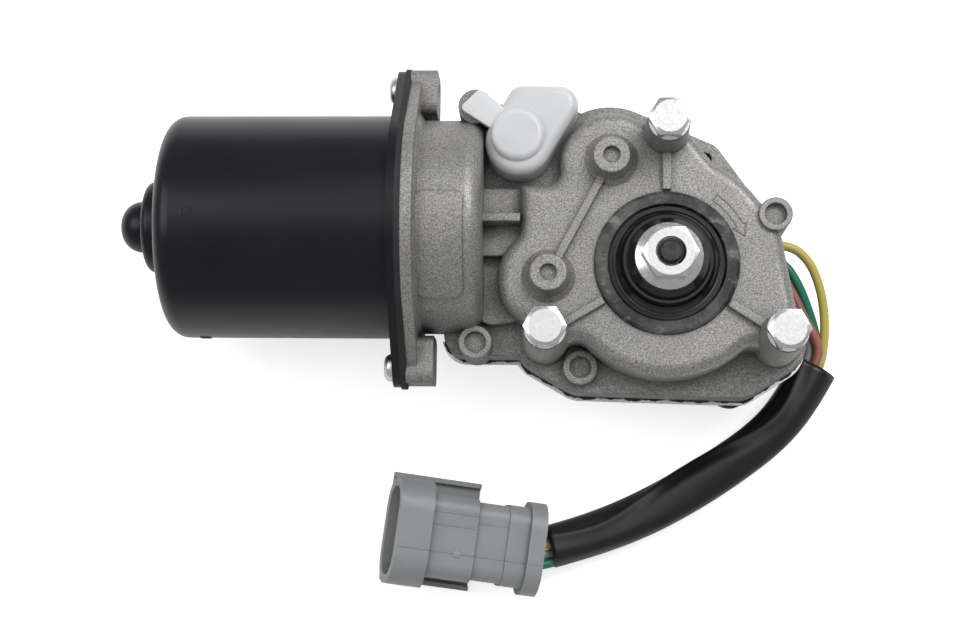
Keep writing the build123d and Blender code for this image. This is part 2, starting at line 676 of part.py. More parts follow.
# Field magnets and the clips that spread them apart
with BuildPart() as magnets:
    with BuildSketch(across(CORE_X - 1.0)):
        Circle(CAN_BORE_R)
        Circle(MAGNET_R, mode=Mode.SUBTRACT)
        magnet_gap = 2 * MAGNET_R * math.cos(math.radians(MAGNET_SPAN / 2))
        Rectangle(2 * CAN_R, magnet_gap, mode=Mode.SUBTRACT)
    extrude(amount=MAGNET_LENGTH)
save(magnets, "magnets")

with BuildPart() as magnet_clips:
    with BuildSketch(across(CORE_X - 1.0)):
        Circle(CAN_BORE_R)
        Circle(CAN_BORE_R - CLIP_T, mode=Mode.SUBTRACT)
        Rectangle(2 * CAN_R, 2 * CAN_BORE_R * math.sin(math.radians(CLIP_SPAN / 2)), mode=Mode.INTERSECT)
    extrude(amount=MAGNET_LENGTH)
save(magnet_clips, "magnet_clips")

# Bushes, retainer and thrust pad of the armature
with BuildPart() as rear_bush:
    turn_motor(
        (
            (POCKET_FLOOR_X, SHAFT_R + RUN_FIT), (POCKET_FLOOR_X, REAR_BUSH_R - 1.2),
            (POCKET_FLOOR_X + 1.5, REAR_BUSH_R), (RETAINER_X - 1.5, REAR_BUSH_R),
            (RETAINER_X, REAR_BUSH_R - 1.2), (RETAINER_X, SHAFT_R + RUN_FIT),
        )
    )
save(rear_bush, "rear_bush")

with BuildPart() as bush_retainer:
    with BuildSketch(across(RETAINER_X)):
        Circle(POCKET_BORE_R)
        Circle(SHAFT_R + 1.5, mode=Mode.SUBTRACT)
        with PolarLocations(POCKET_BORE_R - 1.6, 6):
            Circle(0.9, mode=Mode.SUBTRACT)
    extrude(amount=RETAINER_T)
save(bush_retainer, "bush_retainer")

with BuildPart() as thrust_pad:
    ring(across(DOME_FLOOR_X), DOME_BORE_R, 0.8, THRUST_PAD_T)
save(thrust_pad, "thrust_pad")

with BuildPart() as front_bush:
    ring(across(BELL_FLOOR_X), FRONT_BUSH_R, SHAFT_R + RUN_FIT, FRONT_BUSH_LENGTH)
save(front_bush, "front_bush")

# One right-hand worm about the X axis, with a thread over the middle on its Y side
with BuildSketch(Plane(origin=(-WORM_LENGTH / 2, 0, 0), x_dir=(0, 1, 0), z_dir=(1, 0, 0))) as worm_face:
    with BuildLine():
        start_at = -math.pi * WORM_LENGTH / WORM_LEAD
        thread = math.pi * WORM_MODULE / 2 - TOOTH_THIN
        tip_half = math.pi * (thread - 2 * WORM_MODULE * math.tan(PRESSURE_ANGLE)) / WORM_LEAD
        root_half = math.pi * (thread + 2.5 * WORM_MODULE * math.tan(PRESSURE_ANGLE)) / WORM_LEAD
        for start in range(WORM_STARTS):
            centre = start_at + 2 * math.pi * start / WORM_STARTS
            following = centre + 2 * math.pi / WORM_STARTS
            stations = (
                (WORM_TIP_R, centre - tip_half), (WORM_TIP_R, centre), (WORM_TIP_R, centre + tip_half),
                ((WORM_TIP_R + WORM_ROOT_R) / 2, centre + (tip_half + root_half) / 2),
                (WORM_ROOT_R, centre + root_half), (WORM_ROOT_R, (centre + following) / 2),
                (WORM_ROOT_R, following - root_half),
                ((WORM_TIP_R + WORM_ROOT_R) / 2, following - (tip_half + root_half) / 2),
                (WORM_TIP_R, following - tip_half),
            )
            knots = [(r * math.cos(a), r * math.sin(a)) for r, a in stations]
            for first in range(0, 8, 2):
                ThreePointArc(*knots[first:first + 3])
    make_face()
WORM = Solid.extrude_linear_with_rotation(
    worm_face.sketch.faces()[0], (-WORM_LENGTH / 2, 0, 0), (WORM_LENGTH, 0, 0), 360 * WORM_LENGTH / WORM_LEAD
)
WORM_LEFT_HAND = mirror(WORM, about=Plane.YZ)

# Armature: shaft with its two worms, core, windings and commutator
with BuildPart() as armature_shaft:
    worm_a_x = IDLER_A[0]
    worm_b_x = IDLER_B[0]
    half = WORM_LENGTH / 2
    turn_motor(
        (
            (SHAFT_REAR_X, 0), (SHAFT_REAR_X, SHAFT_R - 0.5), (SHAFT_REAR_X + 0.5, SHAFT_R),
            (worm_a_x - half, SHAFT_R), (worm_a_x - half, 0),
        )
    )
    turn_motor(
        (
            (worm_a_x + half, 0), (worm_a_x + half, SHAFT_R),
            (worm_b_x - half, SHAFT_R), (worm_b_x - half, 0),
        )
    )
    turn_motor(
        (
            (worm_b_x + half, 0), (worm_b_x + half, SHAFT_R), (SHAFT_FRONT_X - 0.8, SHAFT_R),
            (SHAFT_FRONT_X, SHAFT_R - 0.8), (SHAFT_FRONT_X, 0),
        )
    )
    with Locations((worm_a_x, AXIS_Y, AXIS_Z)):
        add(WORM)
    with Locations((worm_b_x, AXIS_Y, AXIS_Z)):
        add(WORM_LEFT_HAND)
save(armature_shaft, "armature_shaft")

with BuildPart() as armature_core:
    with BuildSketch(across(CORE_X)):
        Circle(CORE_R)
        Circle(SHAFT_R, mode=Mode.SUBTRACT)
        with PolarLocations(SLOT_AT_R, SLOTS):
            Circle(SLOT_R, mode=Mode.SUBTRACT)
        with PolarLocations(CORE_R, SLOTS):
            Rectangle(2 * (CORE_R - SLOT_AT_R), SLOT_MOUTH, mode=Mode.SUBTRACT)
    extrude(amount=CORE_LENGTH)
save(armature_core, "armature_core")

with BuildPart() as armature_windings:
    front = CORE_X + CORE_LENGTH
    for face, outward in ((CORE_X, -1), (front, 1)):
        turn_motor(
            (
                (face, COIL_INNER_R), (face, COIL_OUTER_R),
                (face + 0.6 * outward * COIL_OVERHANG, COIL_OUTER_R),
                (face + outward * COIL_OVERHANG, COIL_OUTER_R - 3.0),
                (face + outward * COIL_OVERHANG, COIL_INNER_R + 2.0),
                (face + 0.6 * outward * COIL_OVERHANG, COIL_INNER_R),
            )
        )
    with BuildSketch(across(CORE_X)):
        with PolarLocations(SLOT_AT_R, SLOTS):
            Circle(COIL_R)
    extrude(amount=CORE_LENGTH)
save(armature_windings, "armature_windings")

with BuildPart() as commutator:
    with BuildSketch(across(COMMUTATOR_X)):
        Circle(COMMUTATOR_R)
        Circle(SHAFT_R, mode=Mode.SUBTRACT)
        with PolarLocations(COMMUTATOR_R, SLOTS):
            Rectangle(2.4, COMMUTATOR_GROOVE, mode=Mode.SUBTRACT)
    extrude(amount=COMMUTATOR_LENGTH)
save(commutator, "commutator")

# Brush gear on a moulded plate that seats on the bell's shoulder
with BuildPart() as brush_holder:
    ring(across(BRUSH_PLATE_X), BELL_BORE_R, BRUSH_HOLDER_BORE, BRUSH_HOLDER_T)
    with BuildSketch(across(BRUSH_PLATE_X)):
        for angle in BRUSH_ANGLES:
            with PolarLocations(BRUSH_WALL_MIDDLE_R, 1, start_angle=angle):
                with Locations((0, BRUSH_WALL_Y), (0, -BRUSH_WALL_Y)):
                    Rectangle(BRUSH_WALL_LENGTH, BRUSH_BOX_WALL)
    extrude(amount=-BRUSH_X_LENGTH)
save(brush_holder, "brush_holder")

with BuildPart() as brushes:
    with BuildSketch(across(BRUSH_PLATE_X)):
        for angle in BRUSH_ANGLES:
            with PolarLocations(COMMUTATOR_R + RUNNING_GAP + BRUSH_RADIAL / 2, 1, start_angle=angle):
                Rectangle(BRUSH_RADIAL, BRUSH_W)
    extrude(amount=-BRUSH_X_LENGTH)
save(brushes, "brushes")

with BuildPart() as brush_springs:
    with BuildSketch(across(BRUSH_PLATE_X)):
        for angle in BRUSH_ANGLES:
            with PolarLocations(BRUSH_END_R + LEAF_T / 2, 1, start_angle=angle):
                Rectangle(LEAF_T, BRUSH_W + 4.0)
            with PolarLocations(BRUSH_END_R + 1.4, 1, start_angle=angle):
                with Locations((0, BRUSH_W / 2 + 1.6)):
                    Circle(1.2)
    extrude(amount=-BRUSH_X_LENGTH)
save(brush_springs, "brush_springs")

with BuildPart() as chokes:
    for angle in CHOKE_ANGLES:
        with BuildSketch(across(BRUSH_PLATE_X)) as rod:
            with PolarLocations(CHOKE_AT_R, 1, start_angle=angle):
                Circle(CHOKE_R)
        extrude(rod.sketch, amount=-CHOKE_LENGTH)
save(chokes, "chokes")

# Idler gears: worm wheel, pinion and hub in one moulding on a steel pin
OUTPUT_TOOTH_AT = 0.0

def idler_gear(place, worm_side, twist_sign):
    """One idler; worm_side is +1 where the worm lies on its +Y side."""
    wheel_tooth_at = worm_side * math.pi / 2 + math.pi / WHEEL_TEETH
    thickness = math.pi * WORM_MODULE / 2 - TOOTH_THIN
    twist = WHEEL_WIDTH * WORM_LEAD / (2 * math.pi * WORM_PITCH_R) / WHEEL_PITCH_R
    pinion_tooth_at = mesh_angle(
        place, OUTPUT_TOOTH_AT, OUTPUT_TEETH, OUTPUT_PITCH_R, PINION_TEETH, PINION_PITCH_R
    )
    for end in (-1, 1):
        with BuildSketch(Plane(origin=(*place, AXIS_Z + end * WHEEL_WIDTH / 2))) as wheel_face:
            with BuildLine():
                Polyline(
                    gear_points(
                        WHEEL_TEETH, WORM_MODULE, WHEEL_PITCH_R + WORM_MODULE,
                        WHEEL_PITCH_R - 1.25 * WORM_MODULE, thickness,
                        wheel_tooth_at + end * twist_sign * twist / 2,
                    ),
                    close=True,
                )
            make_face()
        if end < 0:
            back_face = wheel_face.sketch
    loft([back_face, wheel_face.sketch], ruled=True)
    with BuildSketch(Plane(origin=(*place, WHEEL_FRONT_Z))) as pinion_face:
        with BuildLine():
            Polyline(
                gear_points(
                    PINION_TEETH, SPUR_MODULE, PINION_TIP_R, PINION_ROOT_R, PINION_TOOTH, pinion_tooth_at
                ),
                close=True,
            )
        make_face()
    extrude(pinion_face.sketch, amount=GEAR_TOP_Z - WHEEL_FRONT_Z)
    posts([place], IDLER_HUB_R, IDLER_BACK_Z, WHEEL_BACK_Z)
    posts([place], IDLER_PIN_R + RUN_FIT, IDLER_BACK_Z, GEAR_TOP_Z, mode=Mode.SUBTRACT)

with BuildPart() as idler_gear_a:
    idler_gear(IDLER_A, 1, 1)
save(idler_gear_a, "idler_gear_a")

with BuildPart() as idler_gear_b:
    idler_gear(IDLER_B, -1, -1)
save(idler_gear_b, "idler_gear_b")

with BuildPart() as idler_pins:
    posts((IDLER_A, IDLER_B), IDLER_PIN_R, PIN_HEAD_Z, IDLER_PIN_TOP_Z)
    posts((IDLER_A, IDLER_B), IDLER_PIN_HEAD_R, PIN_HEAD_Z, PIN_HEAD_Z + IDLER_PIN_HEAD_T)
save(idler_pins, "idler_pins")

# Output gear, shaft and what turns with them
with BuildPart() as output_gear:
    with BuildSketch(level(GEAR_BACK_Z)):
        with BuildLine():
            Polyline(
                gear_points(
                    OUTPUT_TEETH, SPUR_MODULE, OUTPUT_TIP_R, OUTPUT_ROOT_R, OUTPUT_TOOTH, OUTPUT_TOOTH_AT
                ),
                close=True,
            )
        make_face()
        Circle(OUTPUT_SHAFT_R, mode=Mode.SUBTRACT)
    extrude(amount=OUTPUT_GEAR_WIDTH)
    with BuildSketch(level(GEAR_TOP_Z)):
        Circle(OUTPUT_ROOT_R - 2.5)
        Circle(HUB_R + 1.0, mode=Mode.SUBTRACT)
    extrude(amount=-1.2, mode=Mode.SUBTRACT)
save(output_gear, "output_gear")

with BuildPart() as park_disc:
    with BuildSketch(level(GEAR_BACK_Z - PARK_DISC_T)):
        Circle(PARK_DISC_R)
        Circle(PARK_DISC_BORE, mode=Mode.SUBTRACT)
        with Locations((PARK_DISC_R, 0)):
            Rectangle(7.0, 2 * PARK_DISC_R * math.sin(math.radians(PARK_NOTCH / 2)), mode=Mode.SUBTRACT)
    extrude(amount=PARK_DISC_T)
save(park_disc, "park_disc")

with BuildPart() as thrust_washer:
    ring(level(GEAR_TOP_Z), OUTPUT_BUSH_R + 1.5, OUTPUT_SHAFT_R + RUN_FIT, THRUST_WASHER_T)
save(thrust_washer, "thrust_washer")

with BuildPart() as output_bush:
    ring(level(DECK_INNER_Z), OUTPUT_BUSH_R, OUTPUT_SHAFT_R + RUN_FIT, HUB_Z - DECK_INNER_Z)
save(output_bush, "output_bush")

with BuildPart() as output_shaft:
    turn_upright(
        (
            (0, GEAR_BACK_Z), (OUTPUT_SHAFT_R, GEAR_BACK_Z), (OUTPUT_SHAFT_R, GROOVE_Z),
            (OUTPUT_SHAFT_R - GROOVE_DEPTH, GROOVE_Z),
            (OUTPUT_SHAFT_R - GROOVE_DEPTH, GROOVE_Z + RETAINING_RING_T),
            (OUTPUT_SHAFT_R, GROOVE_Z + RETAINING_RING_T), (CONE_TOP_R, CONE_TOP_Z), (THREAD_R, CONE_TOP_Z),
            (THREAD_R, DOG_Z - 0.6), (THREAD_R - 0.6, DOG_Z), (DOG_R, DOG_Z),
            (DOG_R, SHAFT_TIP_Z - 0.3), (DOG_R - 0.3, SHAFT_TIP_Z), (0, SHAFT_TIP_Z),
        )
    )
save(output_shaft, "output_shaft")

with BuildPart() as retaining_ring:
    with BuildSketch(level(GROOVE_Z)):
        Circle(RETAINING_RING_R)
        Circle(OUTPUT_SHAFT_R - GROOVE_DEPTH, mode=Mode.SUBTRACT)
        with Locations((RETAINING_RING_R, 0)):
            Rectangle(2 * RETAINING_RING_R, RETAINING_RING_GAP, mode=Mode.SUBTRACT)
    extrude(amount=RETAINING_RING_T)
save(retaining_ring, "retaining_ring")

with BuildPart() as shaft_cap:
    turn_upright(
        (
            (THREAD_R, NUT_Z), (9.2, NUT_Z), (10.6, NUT_Z - 1.6), (11.2, NUT_Z - 3.6), (11.9, NUT_Z - 3.6),
            (12.7, NUT_Z - 6.0), (13.3, NUT_Z - 6.6), (CAP_RIM_R, NUT_Z - 7.4), (CAP_RIM_R, CAP_RIM_Z),
            (CAP_RIM_R - CAP_T, CAP_RIM_Z), (CAP_RIM_R - CAP_T, NUT_Z - 7.6), (11.3, NUT_Z - 5.4),
            (10.0, NUT_Z - 4.0), (9.2, NUT_Z - 2.4), (8.4, CONE_TOP_Z), (THREAD_R, CONE_TOP_Z),
        )
    )
save(shaft_cap, "shaft_cap")

with BuildPart() as shaft_nut:
    with BuildSketch(level(NUT_Z)):
        RegularPolygon(NUT_AF / 2, 6, major_radius=False)
    extrude(amount=NUT_H)
    turn_upright(
        (
            (0, NUT_Z), (NUT_AF, NUT_Z), (NUT_AF, NUT_Z + NUT_H - 2.4), (NUT_AF / 2 - 0.3, NUT_Z + NUT_H),
            (0, NUT_Z + NUT_H),
        ),
        mode=Mode.INTERSECT,
    )
    turn_upright(
        (
            (0, NUT_Z), (NUT_FLANGE_R, NUT_Z), (NUT_FLANGE_R, NUT_Z + NUT_FLANGE_T / 2),
            (NUT_AF / 2, NUT_Z + 1.5 * NUT_FLANGE_T), (0, NUT_Z + 1.5 * NUT_FLANGE_T),
        )
    )
    posts([(0, 0)], THREAD_R, NUT_Z, NUT_Z + NUT_H, mode=Mode.SUBTRACT)
save(shaft_nut, "shaft_nut")

with BuildPart() as hub_ring:
    turn_upright(
        (
            (RING_INNER_R, DECK_Z), (RING_OUTER_R, DECK_Z), (RING_OUTER_R - 0.4, DECK_Z + RING_H - 0.3),
            (RING_OUTER_R - 1.0, DECK_Z + RING_H), (RING_GROOVE_R + 0.6, DECK_Z + RING_H),
            (RING_GROOVE_R, DECK_Z + RING_GROOVE_H), (RING_INNER_R, DECK_Z + RING_GROOVE_H),
        )
    )
save(hub_ring, "hub_ring")

# Mounting bolts with their washers, one bolt and then the three
with BuildPart() as bolt:
    with BuildSketch(level(WASHER_T)):
        RegularPolygon(BOLT_AF / 2, 6, major_radius=False)
    extrude(amount=BOLT_HEAD_H)
    turn_upright(
        (
            (0, WASHER_T), (BOLT_AF, WASHER_T), (BOLT_AF, WASHER_T + BOLT_HEAD_H - 2.2),
            (BOLT_AF / 2 - 0.7, WASHER_T + BOLT_HEAD_H), (0, WASHER_T + BOLT_HEAD_H),
        ),
        mode=Mode.INTERSECT,
    )
    posts([(0, 0)], BOLT_R, -BOLT_LENGTH, WASHER_T)

with BuildPart() as mounting_bolts:
    with Locations(*BOSSES):
        add(bolt.part)
save(mounting_bolts, "mounting_bolts")

with BuildPart() as bolt_washers:
    for place in BOSSES:
        ring(Plane(origin=(*place, 0)), WASHER_R, BOLT_R, WASHER_T)
save(bolt_washers, "bolt_washers")

# Rear cover: a pressed pan with its gasket and screws
COVER_SCREWS = [(x, y) for x, y, radius, top in LUGS.values()]

with BuildSketch() as bell_notch:
    with Locations((BELL_END_X + BELL_CLEARANCE - BELL_R, AXIS_Y)):
        Rectangle(2 * BELL_R, 2 * (BELL_R + BELL_CLEARANCE))

with BuildPart() as cover_gasket:
    with BuildSketch(level(COVER_Z)):
        add(rim_outline.sketch)
        add(chamber_outline.sketch, mode=Mode.SUBTRACT)
        add(bell_notch.sketch, mode=Mode.SUBTRACT)
        with Locations(*COVER_SCREWS):
            Circle(COVER_SCREW_R, mode=Mode.SUBTRACT)
    extrude(amount=SEAL_T)
save(cover_gasket, "cover_gasket")

PAN = ((0, 0, PAN_R), (*IDLER_A, PAN_IDLER_R), (*IDLER_B, PAN_IDLER_R))

with BuildPart() as gear_cover:
    with BuildSketch(level(COVER_BACK_Z)):
        add(cover_outline.sketch)
        add(bell_notch.sketch, mode=Mode.SUBTRACT)
    extrude(amount=COVER_T)
    with BuildSketch(level(PAN_BACK_Z)):
        add(hull_outline(*PAN))
    extrude(amount=PAN_DEPTH)
    with BuildSketch(level(PAN_BACK_Z + COVER_T)):
        add(hull_outline(*[(x, y, radius - COVER_T) for x, y, radius in PAN]))
    extrude(amount=PAN_DEPTH, mode=Mode.SUBTRACT)
    posts(COVER_SCREWS, COVER_SCREW_R, COVER_BACK_Z, COVER_Z, mode=Mode.SUBTRACT)
    posts([LEAD_HOLE], LEAD_HOLE_R, PAN_BACK_Z, COVER_Z, mode=Mode.SUBTRACT)
save(gear_cover, "gear_cover")

with BuildPart() as cover_screws:
    posts(COVER_SCREWS, COVER_SCREW_R, COVER_BACK_Z, COVER_BACK_Z + COVER_SCREW_LENGTH)
    posts(COVER_SCREWS, COVER_SCREW_HEAD_R, COVER_BACK_Z - COVER_SCREW_HEAD_H, COVER_BACK_Z)
    head_edges = cover_screws.edges().filter_by_position(
        Axis.Z, COVER_BACK_Z - COVER_SCREW_HEAD_H, COVER_BACK_Z - COVER_SCREW_HEAD_H
    )
    fillet(head_edges, COVER_SCREW_HEAD_H / 2)
save(cover_screws, "cover_screws")

# Park switch: a carrier on the cover with spring fingers that reach the disc on the output gear
with BuildPart() as contact_carrier:
    with BuildSketch(level(PAN_BACK_Z + COVER_T)):
        with Locations(LEAD_HOLE):
            RectangleRounded(CARRIER_LENGTH, CARRIER_WIDTH, 2.0)
    extrude(amount=CARRIER_T)
    posts([LEAD_HOLE], LEAD_HOLE_R, PAN_BACK_Z + COVER_T, CARRIER_Z, mode=Mode.SUBTRACT)
save(contact_carrier, "contact_carrier")

with BuildPart() as contact_fingers:
    foot_x = LEAD_HOLE[0] + CARRIER_LENGTH / 2 - 0.5
    finger_tip_z = GEAR_BACK_Z - PARK_DISC_T - RUNNING_GAP
    for y in FINGER_YS:
        with BuildSketch(Plane(origin=(0, y, 0), x_dir=(1, 0, 0), z_dir=(0, -1, 0))) as finger:
            with BuildLine():
                Polyline(
                    (foot_x, CARRIER_Z), (foot_x, CARRIER_Z + FINGER_T), (foot_x - 4.0, CARRIER_Z + FINGER_T),
                    (foot_x - 7.0, finger_tip_z - 1.5), (foot_x - 8.5, finger_tip_z),
                    (foot_x - 9.1, finger_tip_z), (foot_x - 7.6, finger_tip_z - 1.7),
                    (foot_x - 4.6, CARRIER_Z), close=True,
                )
            make_face()
        extrude(finger.sketch, amount=FINGER_W / 2, both=True)
save(contact_fingers, "contact_fingers")

# The moulding on the cover's back, which the wires leave and the motor rests on
SWITCH_BODY = hull_outline((22.0, 15.0, 6.0), (22.0, -19.0, 6.0), (-9.0, -21.0, 6.0), (-9.0, 13.0, 6.0))
SWITCH_EAR = hull_outline(SWITCH_LUG, (18.0, -20.0, 6.0))

with BuildPart() as switch_housing:
    with BuildSketch(level(FLOOR_Z)):
        add(SWITCH_BODY)
    extrude(amount=PAN_BACK_Z - FLOOR_Z)
    fillet(switch_housing.edges().filter_by_position(Axis.Z, FLOOR_Z, FLOOR_Z), SWITCH_WALL)
    with BuildSketch(level(SWITCH_EAR_Z)):
        add(SWITCH_EAR)
    extrude(amount=PAN_BACK_Z - SWITCH_EAR_Z)
    with BuildSketch(level(FLOOR_Z + SWITCH_WALL)):
        add(SWITCH_BODY)
        offset(amount=-SWITCH_WALL)
    extrude(amount=PAN_BACK_Z - FLOOR_Z - SWITCH_WALL, mode=Mode.SUBTRACT)
    with BuildSketch(GROMMET_PLANE):
        SlotOverall(GROMMET_LENGTH, GROMMET_H)
    extrude(amount=-SWITCH_WALL, mode=Mode.SUBTRACT)
save(switch_housing, "switch_housing")

# Translucent vent cap: a hollow hood with a ball-shaped end, clipped on the upper left lug
VENT_DOME = (-40.3, 35.0)
VENT_DOME_Z = VENT_TOP_Z + VENT_DOME_H
HOOD = hull_outline((-40.0, 33.4, VENT_END_R), (-29.1, 44.0, 5.2), (-39.0, 45.0, 4.3))
with BuildSketch() as hood_inside:
    add(HOOD)
    offset(amount=-VENT_T)
CLIP_ARM = hull_outline((-54.2, 42.8, 1.3), (-50.6, 46.3, 1.3), (-44.5, 38.8, 3.2))

with BuildPart() as vent_cap:
    with BuildSketch(level(WEB_Z)):
        add(HOOD)
    extrude(amount=VENT_TOP_Z - WEB_Z)
    fillet(vent_cap.edges().filter_by_position(Axis.Z, VENT_TOP_Z, VENT_TOP_Z), VENT_ROUND)
    posts([VENT_DOME], VENT_DOME_R, VENT_TOP_Z, VENT_DOME_Z)
    fillet(vent_cap.edges().filter_by_position(Axis.Z, VENT_DOME_Z, VENT_DOME_Z), VENT_DOME_ROUND)
    with BuildSketch(level(LUGS["upper_left"][3])):
        add(CLIP_ARM)
    extrude(amount=VENT_CLIP_T)
    with BuildSketch(level(WEB_Z)):
        add(hood_inside.sketch)
    extrude(amount=VENT_TOP_Z - VENT_T - WEB_Z, mode=Mode.SUBTRACT)
    posts([VENT_DOME], VENT_DOME_R - VENT_T, VENT_TOP_Z - VENT_T, VENT_DOME_Z - VENT_T, mode=Mode.SUBTRACT)
save(vent_cap, "vent_cap")

# Harness: four wires that go through a black sleeve to the connector
SLEEVE_ROUTE = (
    (46.0, -21.5, -54.0), (40.5, -32.5, -54.0), (31.5, -42.3, -54.0), (20.0, -51.2, -54.0),
    (7.0, -59.6, -54.0), (-7.0, -67.0, -54.0), (-21.5, -72.5, -53.6), (-31.2, -75.2, -52.6),
)
WIRE_ROUTES = {
    "wire_yellow": (
        (WIRE_EXIT_X, 12.4, -50.0), (38.0, 12.6, -50.0), (43.8, 7.5, -50.3), (46.8, -0.5, -51.0),
        (48.2, -8.5, -52.3), (48.6, -15.5, -53.6), (48.5, -21.6, -54.0),
    ),
    "wire_green": (
        (WIRE_EXIT_X, 9.0, -50.0), (36.0, 7.6, -50.3), (40.2, 1.5, -51.2), (43.4, -6.0, -53.0),
        (45.8, -13.6, -55.0), (46.3, -20.4, -56.0),
    ),
    "wire_brown": (
        (WIRE_EXIT_X, 5.6, -50.0), (35.3, 3.6, -49.9), (38.9, -2.4, -50.1), (41.9, -9.2, -50.8),
        (45.4, -14.8, -51.5), (46.3, -20.4, -52.0),
    ),
    "wire_grey": (
        (WIRE_EXIT_X, 2.2, -50.0), (34.4, -0.4, -51.3), (37.6, -5.2, -53.0), (40.6, -10.4, -54.1),
        (43.2, -15.0, -54.0), (44.0, -19.4, -54.0),
    ),
}

with BuildPart() as wire_grommet:
    with BuildSketch(GROMMET_PLANE):
        SlotOverall(GROMMET_LENGTH, GROMMET_H)
    extrude(amount=-SWITCH_WALL)
    with BuildSketch(GROMMET_PLANE):
        SlotOverall(GROMMET_LENGTH + 2.4, GROMMET_H + 2.4)
    extrude(amount=WIRE_EXIT_X - SWITCH_SIDE_X)
    with BuildSketch(GROMMET_PLANE):
        with Locations(*[(route[0][1] - GROMMET_Y, 0) for route in WIRE_ROUTES.values()]):
            Circle(WIRE_R + WIRE_FIT)
    extrude(amount=WIRE_EXIT_X - SWITCH_SIDE_X, mode=Mode.SUBTRACT)
save(wire_grommet, "wire_grommet")

with BuildPart() as harness_sleeve:
    cord(SLEEVE_ROUTE, SLEEVE_R)
save(harness_sleeve, "harness_sleeve")

TO_MOUTH = Vector(
    -math.cos(CONNECTOR_TURN) * math.cos(CONNECTOR_TILT),
    math.sin(CONNECTOR_TURN) * math.cos(CONNECTOR_TILT),
    math.sin(CONNECTOR_TILT),
)
SIDEWAYS = Vector(-math.sin(CONNECTOR_TURN), -math.cos(CONNECTOR_TURN), 0)
SLEEVE_END = Vector(*SLEEVE_ROUTE[-1])
SLEEVE_WAY = (SLEEVE_END - Vector(*SLEEVE_ROUTE[-2])).normalized()
TAILS = {"wire_brown": -1.5, "wire_yellow": -0.5, "wire_grey": 0.5, "wire_green": 1.5}

def connector_plane(distance):
    """The plane square to the connector's axis, at a distance from its rear face towards its mouth."""
    return Plane(origin=CONNECTOR_REAR + TO_MOUTH * distance, x_dir=SIDEWAYS, z_dir=TO_MOUTH)

for name, route in WIRE_ROUTES.items():
    hole = CONNECTOR_REAR + SIDEWAYS * (TAILS[name] * TAIL_PITCH)
    tail_length = (hole - SLEEVE_END).dot(SLEEVE_WAY) / TO_MOUTH.dot(SLEEVE_WAY) - TAIL_GAP
    with BuildPart() as wire:
        cord(route, WIRE_R)
        with BuildSketch(connector_plane(-tail_length)) as tail:
            with Locations((TAILS[name] * TAIL_PITCH, 0)):
                Circle(WIRE_R)
        extrude(tail.sketch, amount=tail_length + TAIL_DEPTH)
    save(wire, name)

# Connector: stepped body with an oval mouth, terminals, seal and clip plate
MOUTH_SLANT = math.atan(LIP_SHORT / MOUTH_H)
MOUTH_CUT = Plane(
    origin=connector_plane(CONNECTOR_LENGTH).from_local_coords(Vector(0, -MOUTH_H / 2, 0)),
    x_dir=SIDEWAYS,
    z_dir=TO_MOUTH * math.cos(MOUTH_SLANT) + TO_MOUTH.cross(SIDEWAYS) * math.sin(MOUTH_SLANT),
)

with BuildPart() as connector_body:
    at = 0
    for length, width, height, corner in CONNECTOR_STEPS:
        with BuildSketch(connector_plane(at)):
            RectangleRounded(width, height, corner)
        extrude(amount=length)
        at += length
    with BuildSketch(connector_plane(SOCKET_FLOOR)):
        RectangleRounded(SOCKET_W, SOCKET_H, SOCKET_CORNER)
    extrude(amount=CONNECTOR_LENGTH - SOCKET_FLOOR, mode=Mode.SUBTRACT)
    with BuildSketch(connector_plane(0)):
        with GridLocations(TAIL_PITCH, 0, len(TAILS), 1):
            Circle(WIRE_R + WIRE_FIT)
    extrude(amount=TAIL_DEPTH, mode=Mode.SUBTRACT)
    split(bisect_by=MOUTH_CUT, keep=Keep.BOTTOM)
save(connector_body, "connector_body")

with BuildPart() as connector_terminals:
    with BuildSketch(connector_plane(SOCKET_FLOOR)):
        with GridLocations(TERMINAL_PITCH, 0, len(TAILS), 1):
            Rectangle(TERMINAL_W, TERMINAL_T)
    extrude(amount=TERMINAL_LENGTH)
save(connector_terminals, "connector_terminals")

with BuildPart() as connector_seal:
    with BuildSketch(connector_plane(SOCKET_FLOOR)):
        RectangleRounded(SOCKET_W, SOCKET_H, SOCKET_CORNER)
        RectangleRounded(SOCKET_W - 3.0, SOCKET_H - 3.0, SOCKET_CORNER - 1.5, mode=Mode.SUBTRACT)
    extrude(amount=2.0)
save(connector_seal, "connector_seal")

with BuildPart() as connector_clip:
    with BuildSketch(connector_plane(CLIP_FROM)):
        with Locations((-CLIP_SHIFT, -MOUTH_H / 2 - CLIP_H / 2)):
            Rectangle(CLIP_W, CLIP_H)
        with Locations((-CLIP_SHIFT, -MOUTH_H / 2)):
            Rectangle(CLIP_W - 2 * CLIP_WALL, 2 * (CLIP_H - CLIP_WALL), mode=Mode.SUBTRACT)
    extrude(amount=CLIP_END - CLIP_FROM)
    with BuildSketch(connector_plane(CONNECTOR_LENGTH - MOUTH_LENGTH)):
        with Locations((-CLIP_SHIFT, -MOUTH_H / 2 - CLIP_H / 2)):
            Rectangle(CLIP_W - 2 * CLIP_WALL, CLIP_H)
    extrude(amount=MOUTH_LENGTH / 2)
save(connector_clip, "connector_clip")
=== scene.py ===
import json
import math

import bmesh
import bpy
from mathutils import Matrix, Vector


